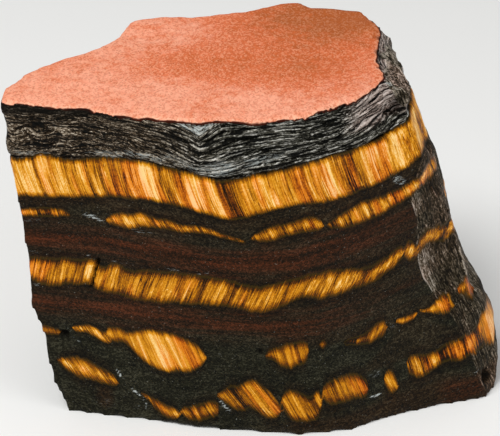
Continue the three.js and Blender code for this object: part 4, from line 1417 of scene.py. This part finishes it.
@dataclass
class Block:
    """The stone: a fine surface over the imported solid, broken up and dressed as its minerals are."""

    cell_mm: float = 0.9  # the side of the fine surface's faces; halved on the front, and again on the rim
    smoothing: int = 4
    side: tuple[float, float, float] = (0.12, -0.9, 0.42)  # the way that the banded side faces
    facing: float = 0.25  # how nearly a face of that side faces so
    upright: float = 0.8  # a face that points up more than this belongs to the upper face
    merge: float = 1e-6
    eye: TigersEye = TigersEye()
    iron: Ironstone = Ironstone()
    rim: Rim = Rim()
    torn: TornEnd = TornEnd()
    skin: Skin = Skin()
    marks: Marks = Marks()
    wander: Grain = Grain((24.0, 24.0, 90.0), 4.4)
    wander_mm: float = 2.6
    swirl: Grain = Grain((4.2, 4.2, 2.8), 2.6)
    swirl_mm: float = 0.8  # in the brown rim, where the plates are crumpled
    rim_above: tuple[float, float] = (58.0, 60.0)
    crumpled: tuple[float, float] = (-12.0, -26.0)  # along X, from none to all
    warm_rim: tuple[float, float] = (-4.0, -26.0)
    dusty: tuple[float, float] = (14.0, 20.0)
    dusty_above: tuple[float, float] = (60.8, 62.5)
    folds: tuple[tuple[float, Course], ...] = (
        (8.0, Course(((-50, 0), (-24, -1.5), (-5, 0.5), (10, -0.5), (50, 4)))),
        (32.0, Course(((-50, 0), (-31, 0.6), (-4, -0.6), (20, 0.4), (36, 3), (50, 1.5)))),
        (53.7, Course(((-50, -0.8), (-24, 1), (-6, -1.2), (5, 0.3), (30, 2.8), (50, 2.5)))),
        (60.6, Course(((-50, 0.6), (-42, 0.9), (-34, 1.6), (-30, 2.0), (-24, 1.3), (-19, 0), (-14, -1.9),
                       (-12.1, -2.75), (-11.7, -2.9), (-11.3, -2.75), (-7.6, -1.8), (-4, -0.9), (0.5, 0),
                       (8, 0.5), (15, 0.4), (21, 1.3), (30, 3.5)))),
        (63.5, Course(((-50, 1.4), (-38, 2), (-30, 1.8), (-23.6, 1.4), (-18.6, 0.3), (-15, -1.1),
                       (-12.1, -2.5), (-11.7, -2.7), (-11.3, -2.5), (-8.8, -1.7), (-5, -0.8), (0.5, 0.1),
                       (5, 0.2), (15, 0.2), (20.5, 2.2), (24, 3.4)))),
        (67.4, Course(((-50, 0.8), (-30, 0.8), (-20.7, 0), (-15.5, -0.6), (-13.3, -1.5), (-12.1, -2.2),
                       (-11.7, -2.4), (-11.3, -2.2), (-10.3, -1.4), (-8.8, -0.4), (-4, 0), (5, 0),
                       (12.7, -0.7), (15.6, -1), (18.5, -0.7), (22.6, 0.8), (25, 0.2)))),
    )

    def subdivide(self, bm: bmesh.types.BMesh, chosen: np.ndarray) -> None:
        """Halve the faces of one part of the surface, and smooth the whole.

        Args:
            bm: The surface.
            chosen: Whether each face is in that part.
        """
        faces = [face for face, wanted in zip(bm.faces, chosen) if wanted]
        edges = list({edge for face in faces for edge in face.edges})
        bmesh.ops.subdivide_edges(bm, edges=edges, cuts=1, use_grid_fill=True)
        for factor in (0.5, -0.53) * self.smoothing:  # each pass inward is followed by one outward
            bmesh.ops.smooth_vert(bm, verts=bm.verts, factor=factor, use_axis_x=True, use_axis_y=True,
                                  use_axis_z=True)
        bm.normal_update()

    def surface(self) -> bpy.types.Object:
        """Draw an even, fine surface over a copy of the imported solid.

        Returns:
            The new piece.
        """
        bm = bmesh.new()
        bm.from_mesh(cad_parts[NODE].data)
        bmesh.ops.remove_doubles(bm, verts=bm.verts, dist=self.merge)
        rough = bpy.data.meshes.new("rough")
        bm.to_mesh(rough)
        bm.free()
        draft = bpy.data.objects.new("draft", rough)
        bpy.context.scene.collection.objects.link(draft)
        remesh = draft.modifiers.new("fine", "REMESH")
        remesh.mode = "VOXEL"
        remesh.voxel_size = self.cell_mm * MM
        shaped = draft.evaluated_get(bpy.context.evaluated_depsgraph_get())
        mesh = bpy.data.meshes.new_from_object(shaped)
        bpy.data.objects.remove(draft)
        bpy.data.meshes.remove(rough)
        bm = bmesh.new()
        bm.from_mesh(mesh)
        below_all = Course(((-50, -1), (50, -1)))
        for lowest in (below_all, RIM_START):
            centres = np.array([face.calc_center_median() for face in bm.faces]) / MM
            normals = np.array([face.normal for face in bm.faces])
            banded = (normals @ np.array(self.side) > self.facing) & (normals[:, 2] < self.upright)
            self.subdivide(bm, banded & (centres[:, 2] > lowest.at(centres[:, 0]) - 1))
        bmesh.ops.triangulate(bm, faces=[face for face in bm.faces if len(face.verts) > 4])
        bm.to_mesh(mesh)
        bm.free()
        stone = bpy.data.objects.new("tiger_iron_stone", mesh)
        bpy.context.scene.collection.objects.link(stone)
        return stone

    def fold(self, x: np.ndarray, z: np.ndarray) -> np.ndarray:
        """Work out how far the beds rise from level.

        Args:
            x: The places along X.
            z: Their heights.

        Returns:
            The rise at each place, between those of the folds below and above it.
        """
        heights = [height for height, _ in self.folds]
        rises = np.stack([course.at(x) for _, course in self.folds])
        place = np.clip(np.interp(z, heights, range(len(heights))), 0, len(heights) - 1.001)
        lower = place.astype(int)
        share = place - lower
        columns = np.arange(len(x))
        return rises[lower, columns] * (1 - share) + rises[lower + 1, columns] * share

    def lie(self, site: Site) -> Told:
        """Ask every mineral where it lies.

        Args:
            site: The surface.

        Returns:
            The values of every field.
        """
        level = site.z + self.wander_mm * site.behind * self.wander.over(site.places)
        crumpled = ease(*self.rim_above, site.z) * ease(*self.crumpled, site.x)
        bed = level - self.fold(site.x, level) + self.swirl_mm * crumpled * self.swirl.over(site.places)
        told = self.torn.lie(site)
        told |= self.eye.lie(site, level, self.torn.pinch(site, told))
        told |= self.iron.lie(site, bed)
        told |= self.rim.lie(site, level, bed)
        told |= self.skin.lie(site)
        told |= self.marks.lie(site, told[Field.SKIN])
        rim = ease(-0.3, 0.3, told[Field.RIM])
        glow = self.marks.glow.at(site.x, site.z) * site.front
        told[Field.WARM] = told[Field.WARM] * (1 - rim) + rim * ease(*self.warm_rim, site.x)
        told[Field.WARM] = np.clip(told[Field.WARM] + glow + self.torn.plate(site), 0, 1)
        told[Field.DUST] = ease(*self.dusty, site.x) * ease(*self.dusty_above, site.z)
        return told

    def build(self) -> bpy.types.Object:
        """Make the stone and dress it.

        Returns:
            The finished piece.
        """
        stone = self.surface()
        mesh = stone.data
        count = len(mesh.vertices)
        places, normals = np.empty(count * 3), np.empty(count * 3)
        mesh.vertices.foreach_get("co", places)
        mesh.vertex_normals.foreach_get("vector", normals)
        site = Site(places.reshape(-1, 3) / MM, normals.reshape(-1, 3))
        told = self.lie(site)
        wall = ease(0.75, 0.35, np.abs(site.up))
        bare = wall * ease(0.1, -0.3, told[Field.SKIN])
        height = bare * (self.eye.relief(told) + self.iron.relief(site, told) + self.rim.relief(site, told))
        facing = ease(0.1, -0.3, told[Field.SKIN]) * ease(-0.9, -0.6, site.up)
        height += facing * self.torn.relief(site, told)
        height += self.skin.relief(site, told) + self.marks.relief(site)
        moved = site.places + site.normals * height[:, None]
        moved[:, 2] = np.maximum(moved[:, 2], 0)
        mesh.vertices.foreach_set("co", (moved * MM).ravel())
        for name, values in told.items():
            kind, member = ("FLOAT_VECTOR", "vector") if values.ndim == 2 else ("FLOAT", "value")
            layer = mesh.attributes.new(name.value, kind, "POINT")
            layer.data.foreach_set(member, values.astype(np.float32).ravel())
        mesh.polygons.foreach_set("use_smooth", np.ones(len(mesh.polygons), dtype=bool))
        mesh.update()
        mesh.materials.clear()
        mesh.materials.append(self.dress())
        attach(stone, "root")
        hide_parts(NODE)
        triangles = sum(len(face.vertices) - 2 for face in mesh.polygons)
        log.info("%s: %d vertices, %d triangles", stone.name, count, triangles)
        return stone

    def dress(self) -> bpy.types.Material:
        """Lay the minerals over one another and join them to the shader.

        Returns:
            The finished material.
        """
        paint = Paint("raw_tiger_iron")
        under = self.iron.dress(paint)
        colour, roughness, height = under.colour, under.roughness, under.height_mm
        # the marks give the painted glints and the painted shade
        glints, shade_paint = self.marks.dress(paint)
        layers = [mineral.dress(paint) for mineral in (self.rim, self.torn, self.eye)]
        for layer in (*layers, glints, self.skin.dress(paint), shade_paint):
            colour = paint.add("Mix", layer.share, colour, layer.colour, **COLOURS)
            roughness = paint.add("Mix", layer.share, roughness, layer.roughness, **NUMBERS)
            height = paint.add("Mix", layer.share, height, layer.height_mm, **NUMBERS)
        normal = paint.add("Bump", named={"Height": height, "Strength": 0.9, "Distance": MM})
        shader = paint.add("BsdfPrincipled", named={
            "Base Color": colour, "Roughness": roughness, "Normal": normal, "IOR": 1.55,
            "Specular IOR Level": 0.07})
        paint.add("OutputMaterial", shader)
        return paint.material


@dataclass
class Studio:
    """A plain pale floor, soft light and the camera."""

    elevation: float = math.radians(27)
    distance: float = 0.45
    lens_mm: float = 162.0
    aim: Vector = field(default_factory=lambda: Vector((-2.24, -7.68, 36)) * MM)
    board: str = "#f4f4f2"  # a matt white board: pale, with no gloss
    board_roughness: float = 0.9
    room: float = 0.4

    def camera(self) -> None:
        """Place the camera in front of the stone, looking down at it."""
        data = bpy.data.cameras.new("camera")
        data.lens = self.lens_mm
        data.sensor_width = 36.0
        data.clip_start = 0.01
        camera = bpy.data.objects.new("camera", data)
        back = Vector((0, -math.cos(self.elevation), math.sin(self.elevation)))
        camera.location = self.aim + back * self.distance
        camera.rotation_euler = (math.pi / 2 - self.elevation, 0, 0)
        bpy.context.scene.collection.objects.link(camera)
        bpy.context.scene.camera = camera

    def light(self, name: str, place: tuple[float, float, float], size: float, watts: float) -> None:
        """Hang one soft light that faces the stone.

        Args:
            name: The light's name.
            place: Where it hangs, in metres.
            size: The side of its square face.
            watts: Its power.
        """
        data = bpy.data.lights.new(name, "AREA")
        data.size = size
        data.energy = watts
        lamp = bpy.data.objects.new(name, data)
        lamp.location = place
        lamp.rotation_euler = (self.aim - Vector(place)).to_track_quat("-Z", "Y").to_euler()
        bpy.context.scene.collection.objects.link(lamp)

    def floor(self) -> None:
        """Lay the floor."""
        bm = bmesh.new()
        bmesh.ops.create_grid(bm, x_segments=1, y_segments=1, size=3.0)
        mesh = bpy.data.meshes.new("floor")
        bm.to_mesh(mesh)
        bm.free()
        floor = bpy.data.objects.new("floor", mesh)
        paint = bpy.data.materials.new("matt_white_board")
        paint.use_nodes = True
        shader = paint.node_tree.nodes["Principled BSDF"]
        shader.inputs["Base Color"].default_value = linear(self.board)
        shader.inputs["Roughness"].default_value = self.board_roughness
        mesh.materials.append(paint)
        bpy.context.scene.collection.objects.link(floor)

    def build(self) -> None:
        """Set up the camera, the lights, the floor and the room's own light."""
        self.camera()
        self.light("key", place=(-0.3, -0.35, 0.75), size=0.35, watts=5.2)
        self.light("fill", place=(0.6, -0.45, 0.35), size=0.5, watts=1.6)
        self.floor()
        scene = bpy.context.scene
        scene.world = bpy.data.worlds.new("room")
        scene.world.use_nodes = True
        air = scene.world.node_tree.nodes["Background"]
        air.inputs["Color"].default_value = linear("#ffffff")
        air.inputs["Strength"].default_value = self.room
        scene.view_settings.view_transform = "Standard"
        log.info("studio ready")


def main() -> None:
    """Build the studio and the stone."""
    logging.basicConfig(level=logging.INFO, format="%(name)s: %(message)s")
    Studio().build()
    Block().build()


if __name__ == "__main__":
    main()
